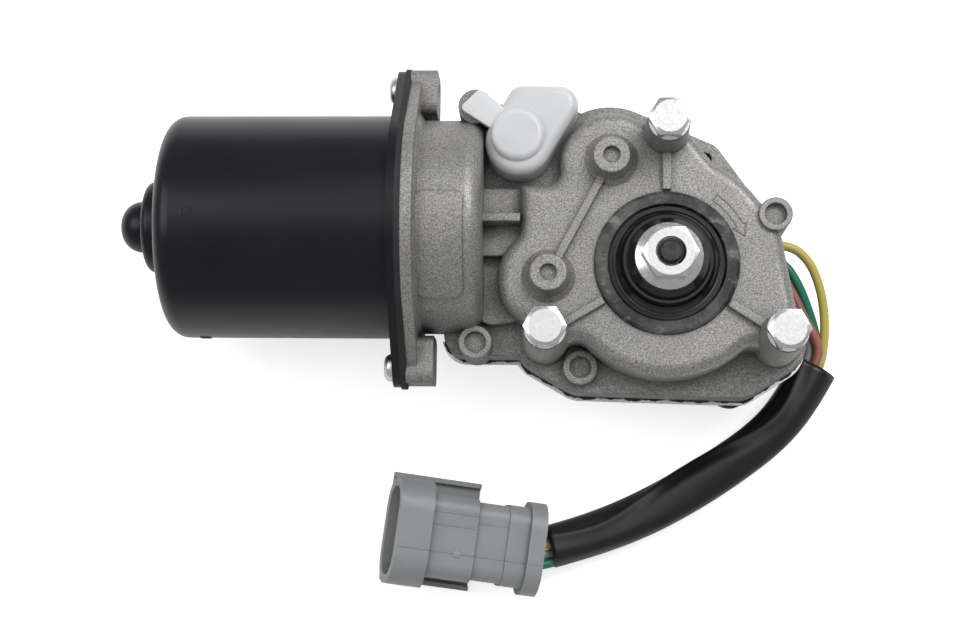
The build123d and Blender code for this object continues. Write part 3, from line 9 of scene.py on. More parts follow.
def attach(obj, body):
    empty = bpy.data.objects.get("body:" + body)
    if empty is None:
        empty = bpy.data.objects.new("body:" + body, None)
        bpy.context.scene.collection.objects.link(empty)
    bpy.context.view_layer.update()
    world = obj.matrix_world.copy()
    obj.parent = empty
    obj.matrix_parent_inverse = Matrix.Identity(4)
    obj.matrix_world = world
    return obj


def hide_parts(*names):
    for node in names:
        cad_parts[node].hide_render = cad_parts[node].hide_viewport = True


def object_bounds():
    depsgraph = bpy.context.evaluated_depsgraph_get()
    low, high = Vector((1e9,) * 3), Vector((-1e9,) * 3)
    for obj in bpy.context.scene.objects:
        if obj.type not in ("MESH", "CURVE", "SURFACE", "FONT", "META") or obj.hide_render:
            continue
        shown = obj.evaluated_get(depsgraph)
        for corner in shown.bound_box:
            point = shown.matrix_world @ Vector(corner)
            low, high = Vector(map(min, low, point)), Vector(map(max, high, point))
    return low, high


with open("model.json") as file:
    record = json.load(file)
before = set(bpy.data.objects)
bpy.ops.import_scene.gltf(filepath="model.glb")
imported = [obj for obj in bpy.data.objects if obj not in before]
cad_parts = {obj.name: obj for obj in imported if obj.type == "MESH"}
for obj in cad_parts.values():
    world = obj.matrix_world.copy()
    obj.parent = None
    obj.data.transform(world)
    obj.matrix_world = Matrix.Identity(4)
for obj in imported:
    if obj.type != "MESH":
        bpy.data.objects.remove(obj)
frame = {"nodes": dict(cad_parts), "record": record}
CAD_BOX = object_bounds()

MM = 0.001
WHITE = (1.0, 1.0, 1.0, 1.0)

# The photograph's camera: place in metres, tilts in degrees, and focal length in millimetres
CAMERA_PLACE = (-0.02882, -0.08326, 0.44093)
CAMERA_TILT_X = 8.51
CAMERA_TILT_Y = 2.61
CAMERA_ROLL = 0.27
CAMERA_LENS = 64.1
SENSOR_WIDTH = 36.0
CLIP_START = 0.01

# The studio: places and sizes in metres, powers in watts
FLOOR_DROP = 0.2 * MM          # the floor lies a hair under the part
FLOOR_SIZE = 6.0
FLOOR_LIFT = 0.62              # light that only the camera sees, so that the floor reads as white
SURROUND_LIGHT = 0.40          # of the white surround on the part
SURROUND_SEEN = 1.0            # of the white surround in the camera
LIGHT_TARGET = Vector((-0.03, -0.01, -0.03))
SOFTBOXES = {                  # place, size and power
    "key": ((0.38, 0.45, 0.7), (0.6, 0.4), 4.6),
    "fill": ((-0.55, 0.1, 0.6), (0.5, 0.5), 1.5),
    "top": ((0.1, 0.25, 1.0), (0.9, 0.9), 1.7),
}


# Shader helpers

class Shader:
    """A material's node tree with a principled shader, and short calls that add nodes to it."""

    def __init__(self, name):
        self.material = bpy.data.materials.new(name)
        self.material.use_nodes = True
        self.nodes = self.material.node_tree.nodes
        self.links = self.material.node_tree.links
        self.principled = self.nodes["Principled BSDF"]
        self.place = self.node("ShaderNodeTexCoord").outputs["Object"]

    def node(self, kind, **settings):
        made = self.nodes.new(kind)
        for key, value in settings.items():
            setattr(made, key, value)
        return made

    def fill(self, node, **values):
        """Puts a number on, or a link into, each named input."""
        for key, value in values.items():
            socket = node.inputs[key.replace("_", " ")]
            if isinstance(value, bpy.types.NodeSocket):
                self.links.new(value, socket)
            else:
                socket.default_value = value
        return node

    def stretched(self, x, y, z):
        """The object's coordinates, scaled by axis, for grain that runs one way."""
        made = self.fill(self.node("ShaderNodeMapping"), Vector=self.place, Scale=(x, y, z))
        return made.outputs["Vector"]

    def noise(self, scale, detail=4.0, roughness=0.55, vector=None):
        made = self.node("ShaderNodeTexNoise")
        self.fill(made, Vector=vector or self.place, Scale=scale, Detail=detail, Roughness=roughness)
        return made.outputs["Fac"]

    def ramp(self, value, *stops):
        """A colour ramp through (position, colour) stops."""
        made = self.fill(self.node("ShaderNodeValToRGB"), Fac=value)
        elements = made.color_ramp.elements
        while len(elements) < len(stops):
            elements.new(0.5)
        for element, (position, colour) in zip(elements, stops):
            element.position = position
            element.color = (*colour, 1.0)
        return made.outputs["Color"]

    def level(self, value, low, high, to_low, to_high):
        """A number mapped from one range to another, clamped."""
        made = self.node("ShaderNodeMapRange")
        self.fill(made, Value=value, From_Min=low, From_Max=high, To_Min=to_low, To_Max=to_high)
        return made.outputs["Result"]

    def mix(self, factor, first, colour):
        """One colour laid over another by a factor."""
        made = self.node("ShaderNodeMix", data_type="RGBA")
        self.links.new(factor, made.inputs[0])
        self.links.new(first, made.inputs[6])
        made.inputs[7].default_value = (*colour, 1.0)
        return made.outputs[2]

    def edges(self, radius):
        """1 on edges, 0 on flat faces."""
        turned = self.node("ShaderNodeVectorMath", operation="DOT_PRODUCT")
        self.links.new(self.rounded(radius), turned.inputs[0])
        self.links.new(self.node("ShaderNodeNewGeometry").outputs["True Normal"], turned.inputs[1])
        return self.level(turned.outputs["Value"], 0.80, 0.99, 1.0, 0.0)

    def shade(self, distance):
        """1 in the open, 0 deep in a corner."""
        made = self.node("ShaderNodeAmbientOcclusion", samples=8)
        return self.fill(made, Distance=distance).outputs["AO"]

    def rounded(self, radius):
        """A normal that rounds sharp edges off."""
        made = self.node("ShaderNodeBevel", samples=6)
        return self.fill(made, Radius=radius).outputs["Normal"]

    def height(self):
        """The height in the part's frame."""
        return self.fill(self.node("ShaderNodeSeparateXYZ"), Vector=self.place).outputs["Z"]

    def from_axis(self):
        """The distance from the output shaft's axis."""
        flat = self.stretched(1.0, 1.0, 0.0)
        return self.fill(self.node("ShaderNodeVectorMath", operation="LENGTH"), Vector=flat).outputs["Value"]

    def bump(self, height, distance, strength, normal=None):
        made = self.node("ShaderNodeBump")
        self.fill(made, Height=height, Distance=distance, Strength=strength)
        if normal:
            self.links.new(normal, made.inputs["Normal"])
        self.links.new(made.outputs["Normal"], self.principled.inputs["Normal"])

    def finish(self, **values):
        self.fill(self.principled, **values)
        return self.material


# Materials

def cast_aluminium():
    """Shot-blasted die casting: sandy grain and softly rounded edges, with painted shade in corners and on
    low surfaces.
    """
    s = Shader("cast aluminium")
    grain = s.noise(2600.0, roughness=0.6)
    patches = s.noise(55.0)
    scuffs = s.noise(24.0, detail=8.0, roughness=0.75)
    body = s.ramp(
        grain, (0.34, (0.135, 0.132, 0.125)), (0.50, (0.285, 0.28, 0.269)), (0.66, (0.47, 0.462, 0.445)),
    )
    body = s.mix(s.level(patches, 0.35, 0.7, 0.0, 0.25), body, (0.17, 0.167, 0.16))
    body = s.mix(s.level(scuffs, 0.66, 0.74, 0.0, 0.3), body, (0.55, 0.545, 0.53))
    # Painted shade: low surfaces such as the rim and the web are darkened by height
    body = s.mix(s.level(s.height(), -0.030, -0.017, 0.26, 0.0), body, (0.052, 0.051, 0.049))
    # Painted shade: corners are darkened where the ambient occlusion finds them closed in
    body = s.mix(s.level(s.shade(0.004), 0.3, 0.95, 0.62, 0.0), body, (0.035, 0.034, 0.032))
    s.bump(grain, 0.0001, 0.6, s.rounded(0.0007))
    return s.finish(Base_Color=body, Metallic=0.45, Roughness=s.level(patches, 0.3, 0.7, 0.40, 0.52))


def black_can():
    """Satin black coating on drawn steel."""
    s = Shader("black can")
    cloud = s.noise(45.0, detail=3.0)
    specks = s.noise(1400.0)
    body = s.ramp(cloud, (0.3, (0.0024, 0.0028, 0.0060)), (0.7, (0.0040, 0.0046, 0.0090)))
    s.bump(specks, 0.000012, 0.3)
    return s.finish(
        Base_Color=body, Roughness=s.level(cloud, 0.3, 0.7, 0.26, 0.31), Specular_IOR_Level=0.36,
        Sheen_Weight=0.30, Sheen_Roughness=0.30,
    )


def metal(name, low, high, roughness, scale=400.0):
    """Plain or plated metal with a slightly uneven tone."""
    s = Shader(name)
    tone = s.noise(scale)
    body = s.ramp(tone, (0.3, low), (0.7, high))
    s.bump(tone, 0.00001, 0.4)
    rough = s.level(tone, 0.3, 0.7, roughness, roughness + 0.12)
    return s.finish(Base_Color=body, Metallic=1.0, Roughness=rough)


def moulded(name, low, high, roughness, scale=500.0, grain=0.00002):
    """Moulded plastic or rubber with a fine skin."""
    s = Shader(name)
    tone = s.noise(scale)
    patches = s.noise(60.0)
    body = s.ramp(patches, (0.3, low), (0.7, high))
    s.bump(tone, grain, 0.4)
    return s.finish(Base_Color=body, Roughness=s.level(tone, 0.3, 0.7, roughness, roughness + 0.1))


def edge_lit(name, low, high, edge, roughness):
    """Moulded plastic with a painted highlight on its edges and painted shade in its corners."""
    s = Shader(name)
    tone = s.noise(500.0)
    patches = s.noise(60.0)
    body = s.ramp(patches, (0.3, low), (0.7, high))
    # Painted highlight: edges are lightened towards the edge colour
    body = s.mix(s.edges(0.00035), body, edge)
    # Painted shade: corners are darkened where the ambient occlusion finds them closed in
    body = s.mix(s.level(s.shade(0.002), 0.4, 0.95, 0.55, 0.0), body, (0.05, 0.053, 0.056))
    s.bump(tone, 0.00002, 0.4, s.rounded(0.0004))
    return s.finish(Base_Color=body, Roughness=s.level(tone, 0.3, 0.7, roughness, roughness + 0.1))


def translucent(name, low, high):
    """Milky moulded plastic that lets some light through."""
    s = Shader(name)
    patches = s.noise(90.0)
    body = s.ramp(patches, (0.3, low), (0.7, high))
    return s.finish(
        Base_Color=body, Roughness=s.level(patches, 0.3, 0.7, 0.28, 0.36), Subsurface_Weight=0.6,
        Subsurface_Radius=(0.005, 0.005, 0.005), Subsurface_Scale=1.0,
    )


def wound_copper():
    """Enamelled wire, wound side by side."""
    s = Shader("copper")
    turns = s.noise(1.0, detail=2.0, vector=s.stretched(40.0, 900.0, 900.0))
    body = s.ramp(turns, (0.35, (0.30, 0.10, 0.04)), (0.65, (0.62, 0.26, 0.12)))
    s.bump(turns, 0.0001, 0.5)
    return s.finish(Base_Color=body, Metallic=0.9, Roughness=s.level(turns, 0.3, 0.7, 0.25, 0.4))


def worn_rubber():
    """A dull ring with rubbed grey patches, and a near-black inner edge that is painted shade for the deep
    groove round the cap.
    """
    s = Shader("worn ring")
    rubbed = s.noise(120.0, detail=8.0, roughness=0.75)
    streaks = s.noise(1.0, detail=5.0, vector=s.stretched(170.0, 300.0, 170.0))
    body = s.ramp(rubbed, (0.42, (0.010, 0.010, 0.011)), (0.60, (0.085, 0.083, 0.080)))
    body = s.mix(s.level(streaks, 0.55, 0.70, 0.0, 0.75), body, (0.24, 0.235, 0.215))
    # Painted shade: inside 15.3 mm from the shaft's axis the ring turns near-black, for the shade of the
    # deep groove
    body = s.mix(s.level(s.from_axis(), 0.0153, 0.0160, 1.0, 0.0), body, (0.003, 0.003, 0.003))
    s.bump(rubbed, 0.00008, 0.5)
    return s.finish(Base_Color=body, Roughness=s.level(rubbed, 0.3, 0.7, 0.38, 0.58), Specular_IOR_Level=0.5)


MATERIALS = {
    "cast_aluminium": cast_aluminium(),
    "black_can": black_can(),
    "zinc": metal("zinc", (0.68, 0.685, 0.695), (0.76, 0.765, 0.77), 0.20, 1200.0),
    "dark_steel": metal("dark steel", (0.030, 0.029, 0.028), (0.075, 0.073, 0.070), 0.34),
    "ground_steel": metal("ground steel", (0.45, 0.45, 0.46), (0.62, 0.62, 0.63), 0.25),
    "lamination_steel": metal("lamination steel", (0.20, 0.20, 0.21), (0.32, 0.32, 0.33), 0.35),
    "copper": wound_copper(),
    "bronze": metal("bronze", (0.42, 0.28, 0.13), (0.55, 0.38, 0.19), 0.4),
    "ferrite": moulded("ferrite", (0.05, 0.05, 0.055), (0.08, 0.08, 0.085), 0.6),
    "carbon": moulded("carbon", (0.03, 0.03, 0.03), (0.05, 0.05, 0.05), 0.6),
    "gear_plastic": moulded("gear plastic", (0.70, 0.68, 0.60), (0.78, 0.76, 0.70), 0.35),
    "black_plastic": moulded("black plastic", (0.012, 0.012, 0.012), (0.02, 0.02, 0.02), 0.45),
    "black_rubber": moulded("black rubber", (0.008, 0.008, 0.008), (0.018, 0.018, 0.018), 0.6),
    "black_cap": moulded("black cap", (0.004, 0.004, 0.0045), (0.007, 0.007, 0.008), 0.14, 300.0, 0.000004),
    "worn_ring": worn_rubber(),
    "white_plastic": translucent("white plastic", (0.66, 0.67, 0.69), (0.73, 0.74, 0.755)),
    # Grey plastic: its third colour is the painted highlight on its edges, and its corners get painted shade
    "grey_plastic": edge_lit(
        "grey plastic", (0.245, 0.253, 0.260), (0.275, 0.283, 0.290), (0.46, 0.465, 0.46), 0.38,
    ),
    "contact_brass": metal("contact brass", (0.62, 0.44, 0.16), (0.72, 0.54, 0.24), 0.25),
    "yellow_insulation": moulded("yellow insulation", (0.50, 0.40, 0.075), (0.56, 0.46, 0.10), 0.3),
    "green_insulation": moulded("green insulation", (0.006, 0.17, 0.09), (0.009, 0.21, 0.115), 0.3),
    "brown_insulation": moulded("brown insulation", (0.30, 0.10, 0.075), (0.36, 0.13, 0.10), 0.3),
    "grey_insulation": moulded("grey insulation", (0.20, 0.21, 0.23), (0.26, 0.27, 0.29), 0.3),
    "black_sleeve": moulded(
        "black sleeve", (0.004, 0.004, 0.005), (0.007, 0.007, 0.008), 0.30, 220.0, 0.00008,
    ),
}


def dress(piece, slot):
    """Gives a piece its slot's material."""
    piece.data.materials.clear()
    piece.data.materials.append(MATERIALS[slot])


SLOT_OF = {entry["node"]: entry["material_slot"] for entry in frame["record"]["subparts"]}
for node, piece in frame["nodes"].items():
    dress(piece, SLOT_OF[node])


# Helpers for the pieces that the scene adds

def add_piece(name, data, slot, body):
    """Puts a mesh or a curve into the scene, dressed and carried by a body."""
    piece = bpy.data.objects.new(name, data)
    bpy.context.collection.objects.link(piece)
    dress(piece, slot)
    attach(piece, body)
    return piece


def solid_piece(name, slot, body, build):
    """A piece whose mesh is made by build(bmesh)."""
    mesh = bmesh.new()
    build(mesh)
    bmesh.ops.recalc_face_normals(mesh, faces=mesh.faces)
    data = bpy.data.meshes.new(name)
    mesh.to_mesh(data)
    mesh.free()
    return add_piece(name, data, slot, body)


def tube_curve(name, kind, points, diameter, resolution):
    """A round tube on a spline through points in metres."""
    data = bpy.data.curves.new(name, "CURVE")
    data.dimensions = "3D"
    data.bevel_depth = diameter / 2
    data.bevel_resolution = resolution
    spline = data.splines.new(kind)
    spline.points.add(len(points) - 1)
    for target, point in zip(spline.points, points):
        target.co = (*point, 1.0)
    return data, spline


def band(mesh, first, second):
    """Faces between two closed loops of as many points."""
    for k in range(len(first)):
        n = (k + 1) % len(first)
        mesh.faces.new((first[k], first[n], second[n], second[k]))


def closed_band(mesh, loops):
    """Faces from each loop to the next and from the last to the first."""
    for first, second in zip(loops, loops[1:] + loops[:1]):
        band(mesh, first, second)


def prism(mesh, outline, place, height):
    """A closed prism on an outline: place(x, y, z) turns outline millimetres into a point."""
    low = [mesh.verts.new(place(x, y, 0.0)) for x, y in outline]
    high = [mesh.verts.new(place(x, y, height)) for x, y in outline]
    mesh.faces.new(low)
    mesh.faces.new(high)
    band(mesh, low, high)


def circle(x, y, radius, steps):
    turns = [2 * math.pi * k / steps for k in range(steps)]
    return [(x + radius * math.cos(t), y + radius * math.sin(t)) for t in turns]


# Harness: the wires run from the grommet through the sleeve to the connector

WIRE_DIAMETER = 2.7 * MM
SLEEVE_ROUTE = (
    (45.0, -22.8, -54.0), (39.8, -32.2, -54.0), (31.5, -42.3, -54.0), (20.0, -51.2, -54.0),
    (7.0, -59.6, -54.0), (-7.0, -67.0, -54.0), (-21.5, -72.5, -53.6), (-31.2, -75.2, -52.6),
)
WIRE_STARTS = {
    "yellow": (
        (31.0, 12.4, -50.0), (38.0, 12.6, -50.0), (43.8, 7.5, -50.3), (46.8, -0.5, -51.0),
        (48.0, -8.5, -52.3), (47.9, -15.5, -53.6), (46.8, -22.2, -54.0),
    ),
    "green": (
        (31.0, 9.0, -50.0), (36.0, 7.6, -50.3), (40.2, 1.5, -51.2), (43.4, -6.0, -53.0),
        (45.8, -13.6, -55.0), (46.3, -20.4, -56.0),
    ),
    "brown": (
        (31.0, 5.6, -50.0), (35.3, 3.6, -49.9), (38.9, -2.4, -50.1), (41.9, -9.2, -50.8),
        (45.4, -14.8, -51.5), (46.3, -20.4, -52.0),
    ),
    "grey": (
        (31.0, 2.2, -50.0), (34.4, -0.4, -51.3), (37.6, -5.2, -53.0), (40.6, -10.4, -54.1),
        (43.2, -15.0, -54.0), (44.0, -19.4, -54.0),
    ),
}

# Each wire's place in the bundle where it enters the sleeve, and in the connector's row of holes
BUNDLE_ANGLE = {"yellow": 0, "brown": 90, "grey": 180, "green": 270}
BUNDLE_RADIUS = 2.4
BUNDLE_TWIST = 135             # degrees over the sleeve's length
HOLE_ROW = {"brown": -1.5, "yellow": -0.5, "grey": 0.5, "green": 1.5}
HOLE_PITCH = 3.0
HOLE_DEPTH = 3.0

# The connector's rear face, its turn seen from above, and the rise of its mouth on the clip plate
CONNECTOR_REAR = Vector((-34.4, -76.2, -50.967))
CONNECTOR_TURN = math.radians(7.2)
CLIP_RISE = 3.75
CLIP_FROM = 17.0
CONNECTOR_TILT = math.atan(CLIP_RISE / CLIP_FROM)
TO_MOUTH = Vector((
    -math.cos(CONNECTOR_TURN) * math.cos(CONNECTOR_TILT),
    math.sin(CONNECTOR_TURN) * math.cos(CONNECTOR_TILT),
    math.sin(CONNECTOR_TILT),
))
SIDEWAYS = Vector((-math.sin(CONNECTOR_TURN), -math.cos(CONNECTOR_TURN), 0.0))
CONNECTOR_UP = TO_MOUTH.cross(SIDEWAYS)

# The sleeve's flattened section, its creases and its long fold
SLEEVE_HALF_WIDTH = 6.7
SLEEVE_HALF_HEIGHT = 4.7
SLEEVE_WALL = 0.5
SLEEVE_SIDES = 72
SLEEVE_STEPS = 14              # for each point of the route
CREASES = (                    # waves round, radians along, phase and depth
    (3, 5.0, 0.4, 0.026),
    (2, 9.0, 2.1, 0.022),
    (5, 7.0, 1.2, 0.012),
)
CREASE_DEPTH = sum(depth for _, _, _, depth in CREASES)
FOLD_MIDDLE = 3.95             # angle round the section, on its upper side
FOLD_SWING = 0.5
FOLD_WAVES = 9.0               # radians along the sleeve
FOLD_DEPTH = 0.06
RIDGE_WIDTH = 0.16
VALLEY_WIDTH = 0.28
VALLEY_OFF = 0.42              # angle from ridge to valley


def smooth(points, steps):
    """Points along the quadratic curve that a route's points control."""
    points = [Vector(p) for p in points]
    curve = [points[0]]
    for i in range(1, len(points) - 1):
        start = points[0] if i == 1 else (points[i - 1] + points[i]) / 2
        end = points[-1] if i == len(points) - 2 else (points[i] + points[i + 1]) / 2
        for step in range(1, steps + 1):
            t = step / steps
            curve.append(start * (1 - t) ** 2 + points[i] * 2 * t * (1 - t) + end * t**2)
    return curve


SLEEVE_PATH = smooth(SLEEVE_ROUTE, SLEEVE_STEPS)


def beside(ahead):
    """The level direction to the left of a heading."""
    return Vector((-ahead.y, ahead.x, 0.0)).normalized()


def bundle_points(colour):
    """A wire's points inside the sleeve: the bundle turns slowly on its way."""
    route = [Vector(p) for p in SLEEVE_ROUTE]
    points = []
    for i in range(1, len(route) - 1):
        ahead = (route[i + 1] - route[i - 1]).normalized()
        angle = math.radians(BUNDLE_ANGLE[colour] + BUNDLE_TWIST * i / (len(route) - 1))
        offset = beside(ahead) * math.cos(angle) + Vector((0, 0, 1)) * math.sin(angle)
        points.append(route[i] + offset * BUNDLE_RADIUS)
    return points


def wire(colour):
    """One wire as a spline from the grommet to the bottom of its hole in the connector."""
    hole = CONNECTOR_REAR + SIDEWAYS * (HOLE_ROW[colour] * HOLE_PITCH)
    points = [Vector(p) for p in WIRE_STARTS[colour]] + bundle_points(colour)
    points += [hole - TO_MOUTH * HOLE_DEPTH, hole + TO_MOUTH * HOLE_DEPTH]
    name = f"{colour}_wire"
    data, spline = tube_curve(name, "NURBS", [p * MM for p in points], WIRE_DIAMETER, 5)
    data.use_fill_caps = True
    spline.order_u = 3
    spline.use_endpoint_u = True
    spline.resolution_u = 10
    piece = add_piece(name, data, f"{colour}_insulation", "housing")
    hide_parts(f"wire_{colour}")
    return piece


def fold(angle, along):
    """The long fold that wanders over the sleeve's upper side: a ridge with a valley beside it."""
    off = angle - FOLD_MIDDLE - FOLD_SWING * math.sin(FOLD_WAVES * along)
    ridge = math.exp(-((off / RIDGE_WIDTH) ** 2))
    valley = math.exp(-(((off - VALLEY_OFF) / VALLEY_WIDTH) ** 2))
    return FOLD_DEPTH * (ridge - valley)


def creased(angle, along):
    """How far the sleeve's wall stands out, as a share of its size."""
    waves = [depth * math.sin(n * angle + m * along + phase) for n, m, phase, depth in CREASES]
    return fold(angle, along) + sum(waves)


def ring_of_points(centre, ahead, shrink, along):
    """One section of the sleeve: a flattened round with creases."""
    outwards = beside(ahead)
    downwards = outwards.cross(ahead)
    points = []
    for k in range(SLEEVE_SIDES):
        angle = 2 * math.pi * k / SLEEVE_SIDES
        crease = creased(angle, along)
        width = (SLEEVE_HALF_WIDTH - shrink) * (1 + crease - CREASE_DEPTH)
        height = (SLEEVE_HALF_HEIGHT - shrink) * (1 + crease)
        points.append(centre + outwards * (math.cos(angle) * width) + downwards * (math.sin(angle) * height))
    return points


def hollow_sleeve(mesh):
    """The sleeve as a hollow tube, open at both ends."""
    last = len(SLEEVE_PATH) - 1
    tubes = []
    for shrink in (0.0, SLEEVE_WALL):
        tube = []
        for i, centre in enumerate(SLEEVE_PATH):
            ahead = (SLEEVE_PATH[min(i + 1, last)] - SLEEVE_PATH[max(i - 1, 0)]).normalized()
            section = ring_of_points(centre, ahead, shrink, i / len(SLEEVE_PATH))
            tube.append([mesh.verts.new(p * MM) for p in section])
        for first, second in zip(tube, tube[1:]):
            band(mesh, first, second)
        tubes.append(tube)
    for end in (0, -1):
        band(mesh, tubes[0][end], tubes[1][end])


for colour in WIRE_STARTS:
    wire(colour)
sleeve_piece = solid_piece("sleeve", "black_sleeve", "housing", hollow_sleeve)
sleeve_piece.data.shade_smooth()
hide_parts("harness_sleeve")


# Turning arrow on the deck

SUNK = 0.05                    # of a raised mark's foot into the surface that carries it
DECK_Z = -12.0
ARROW_RADIUS = 22.2
ARROW_WIDTH = 2.2
ARROW_SPAN = (54.5, 28.0)      # degrees round the output shaft, from tail to head
ARROW_TIP = 19.2
ARROW_TIP_INSET = 2.4          # of the tip and of the head's half width, as shares of the line's inset
ARROW_HEAD_INSET = 2.0
ARROW_HEAD_WIDTH = 4.4
ARROW_STEPS = 10
ARROW_LINE = 0.32              # width of the raised line that draws the arrow
ARROW_HEIGHT = 0.22            # of that line, with its foot


def round_the_shaft(radius, angle):
    """A level point at a radius and an angle in degrees round the output shaft."""
    return radius * math.cos(math.radians(angle)), radius * math.sin(math.radians(angle))


def arrow_outline(inset):
    """The arrow's outline, drawn in by an inset."""
    turn = math.degrees(inset / ARROW_RADIUS)
    tail = ARROW_SPAN[0] - turn
    neck = ARROW_SPAN[1] + turn
    tip = ARROW_TIP + ARROW_TIP_INSET * turn
    half = ARROW_WIDTH / 2 - inset
    head = ARROW_HEAD_WIDTH / 2 - ARROW_HEAD_INSET * inset
    steps = [tail + (neck - turn - tail) * k / ARROW_STEPS for k in range(ARROW_STEPS + 1)]
    outer = [round_the_shaft(ARROW_RADIUS + half, a) for a in steps]
    inner = [round_the_shaft(ARROW_RADIUS - half, a) for a in reversed(steps)]
    point = [
        round_the_shaft(ARROW_RADIUS + head, neck - 2 * turn), round_the_shaft(ARROW_RADIUS, tip),
        round_the_shaft(ARROW_RADIUS - head, neck - 2 * turn),
    ]
    return outer + point + inner


def turning_arrow(mesh):
    """The cast arrow on the deck that shows which way the shaft turns."""
    loops = []
    for inset, z in ((0.0, 0.0), (0.0, ARROW_HEIGHT), (ARROW_LINE, ARROW_HEIGHT), (ARROW_LINE, 0.0)):
        outline = arrow_outline(inset)
        loops.append([mesh.verts.new(Vector((*point, DECK_Z - SUNK + z)) * MM) for point in outline])
    closed_band(mesh, loops)


solid_piece("turning_arrow", "cast_aluminium", "housing", turning_arrow)


# Moulding marks on the connector

STEP_TOPS = (9.25, 7.75, 7.25, 8.0, 10.0)      # of the connector's steps above its axis, rear first
PARTING_SIDE = 4.2
DOT_ALONG = 24.5
DOT_STEP = 3
DOT_R = 1.2
DOT_HEIGHT = 0.2               # with its foot
DOT_SIDES = 24
LINE_WIDTH = 0.3
LINE_RAISE = 0.12
TOP_LINES = (                  # start and end along the connector, sideways, and the step that carries it
    (0.6, 4.0, PARTING_SIDE, 0), (4.9, 10.3, PARTING_SIDE, 1), (10.9, 19.3, PARTING_SIDE, 2),
    (19.9, 32.3, PARTING_SIDE, 3), (33.0, 41.6, PARTING_SIDE, 4),
    (19.9, 32.3, -3.3, 3), (10.9, 19.3, -5.0, 2), (19.9, 32.3, -6.9, 3),
)


def on_connector(along, side, up):
    """A point in metres, from millimetres along the connector from its rear, sideways and up."""
    return (CONNECTOR_REAR + TO_MOUTH * along + SIDEWAYS * side + CONNECTOR_UP * up) * MM


def mould_marks(mesh):
    """The parting line and ridges along the connector's top, and the round ejector mark."""
    half = LINE_WIDTH / 2
    for start, end, side, step in TOP_LINES:
        strip = [(start, side - half), (end, side - half), (end, side + half), (start, side + half)]
        foot = STEP_TOPS[step] - SUNK
        prism(mesh, strip, lambda x, y, z: on_connector(x, y, foot + z), LINE_RAISE + SUNK)
    dot = circle(DOT_ALONG, PARTING_SIDE, DOT_R, DOT_SIDES)
    prism(mesh, dot, lambda x, y, z: on_connector(x, y, STEP_TOPS[DOT_STEP] - SUNK + z), DOT_HEIGHT)


solid_piece("mould_marks", "grey_plastic", "housing", mould_marks)


# Press marks round the can's rear end

MOTOR_AXIS_Y = 12.3
MOTOR_AXIS_Z = -26.0
CAN_RADIUS = 31.0
STAKE_X = -127.2
STAKE_TURNS = (3, 93, 183, 273)      # degrees round the can
STAKE_HALF = 1.4
STAKE_LINE = 0.45
STAKE_RAISE = 0.28


def on_can(x, turn, around, lift):
    """A point in metres on the can, around from a turn in degrees and lifted off its side."""
    angle = math.radians(turn) + around / CAN_RADIUS
    radius = CAN_RADIUS + lift
    place = (x, MOTOR_AXIS_Y + radius * math.cos(angle), MOTOR_AXIS_Z + radius * math.sin(angle))
    return Vector(place) * MM


def stake_marks(mesh):
    """Square marks, each drawn by a raised line."""
    inside = STAKE_HALF - STAKE_LINE
    section = ((STAKE_HALF, -SUNK), (STAKE_HALF, STAKE_RAISE), (inside, STAKE_RAISE), (inside, -SUNK))
    for turn in STAKE_TURNS:
        loops = []
        for half, lift in section:
            square = ((-half, -half), (half, -half), (half, half), (-half, half))
            loops.append([mesh.verts.new(on_can(STAKE_X + x, turn, y, lift)) for x, y in square])
        closed_band(mesh, loops)


solid_piece("stake_marks", "black_can", "housing", stake_marks)


# Thread in the top of the nut

THREAD_RADIUS = 4.0
THREAD_PITCH = 1.25
THREAD_DEPTH = 0.55
THREAD_HALF = 0.28             # half the crest's foot, along the shaft
THREAD_FROM = 3.6              # where the shaft's own thread runs out
THREAD_SPAN = (3.7, 4.8)       # heights of the crest between there and the nut's upper face
THREAD_STEPS = 60


def nut_thread(mesh):
    """The crest of the nut's last turn of thread, round the shaft's point."""
    foot = THREAD_RADIUS + SUNK
    sections = []
    for k in range(THREAD_STEPS + 1):
        z = THREAD_SPAN[0] + (THREAD_SPAN[1] - THREAD_SPAN[0]) * k / THREAD_STEPS
        angle = 360.0 * z / THREAD_PITCH
        crest = THREAD_RADIUS - min(THREAD_DEPTH, z - THREAD_FROM)
        corners = ((foot, z - THREAD_HALF), (crest, z), (foot, z + THREAD_HALF))
        sections.append([mesh.verts.new(Vector((*round_the_shaft(r, angle), h)) * MM) for r, h in corners])
    for first, second in zip(sections, sections[1:]):
        band(mesh, first, second)
    mesh.faces.new(sections[0])
    mesh.faces.new(sections[-1])


solid_piece("nut_thread", "zinc", "output", nut_thread)


# Lug of the rear moulding

COVER_BACK_Z = -38.4
SWITCH_LUG = (19.0, -30.4)
SWITCH_LUG_R = 5.9
SWITCH_LUG_T = 3.0
SWITCH_LUG_SIDES = 48


def switch_lug(mesh):
    """The rear moulding's round lug, which shows under the rim."""
    outline = circle(*SWITCH_LUG, SWITCH_LUG_R, SWITCH_LUG_SIDES)
    prism(mesh, outline, lambda x, y, z: Vector((x, y, COVER_BACK_Z - SWITCH_LUG_T + z)) * MM, SWITCH_LUG_T)


solid_piece("switch_lug", "black_plastic", "housing", switch_lug)


# Sealant squeezed out between the housing's rim and its cover

SAME_POINT = 1e-6              # metres between points that are one
SAME_HEIGHT = 1e-5             # metres between heights that are one
FACING_UP = 0.99               # least height of an upper face's normal
SEALANT_DIAMETER = 0.84 * MM
SEALANT_STEP = 0.9 * MM
SEALANT_Z = -36.5 * MM
SEALANT_OUT = 0.3 * MM
SEALANT_SWELL = 0.5            # of the bead's thickness
SEALANT_WAVES = (              # share, radians at each step and phase
    (0.5, 0.9, 0.0),
    (0.35, 0.37, 1.0),
    (0.3, 2.3, 0.5),
)


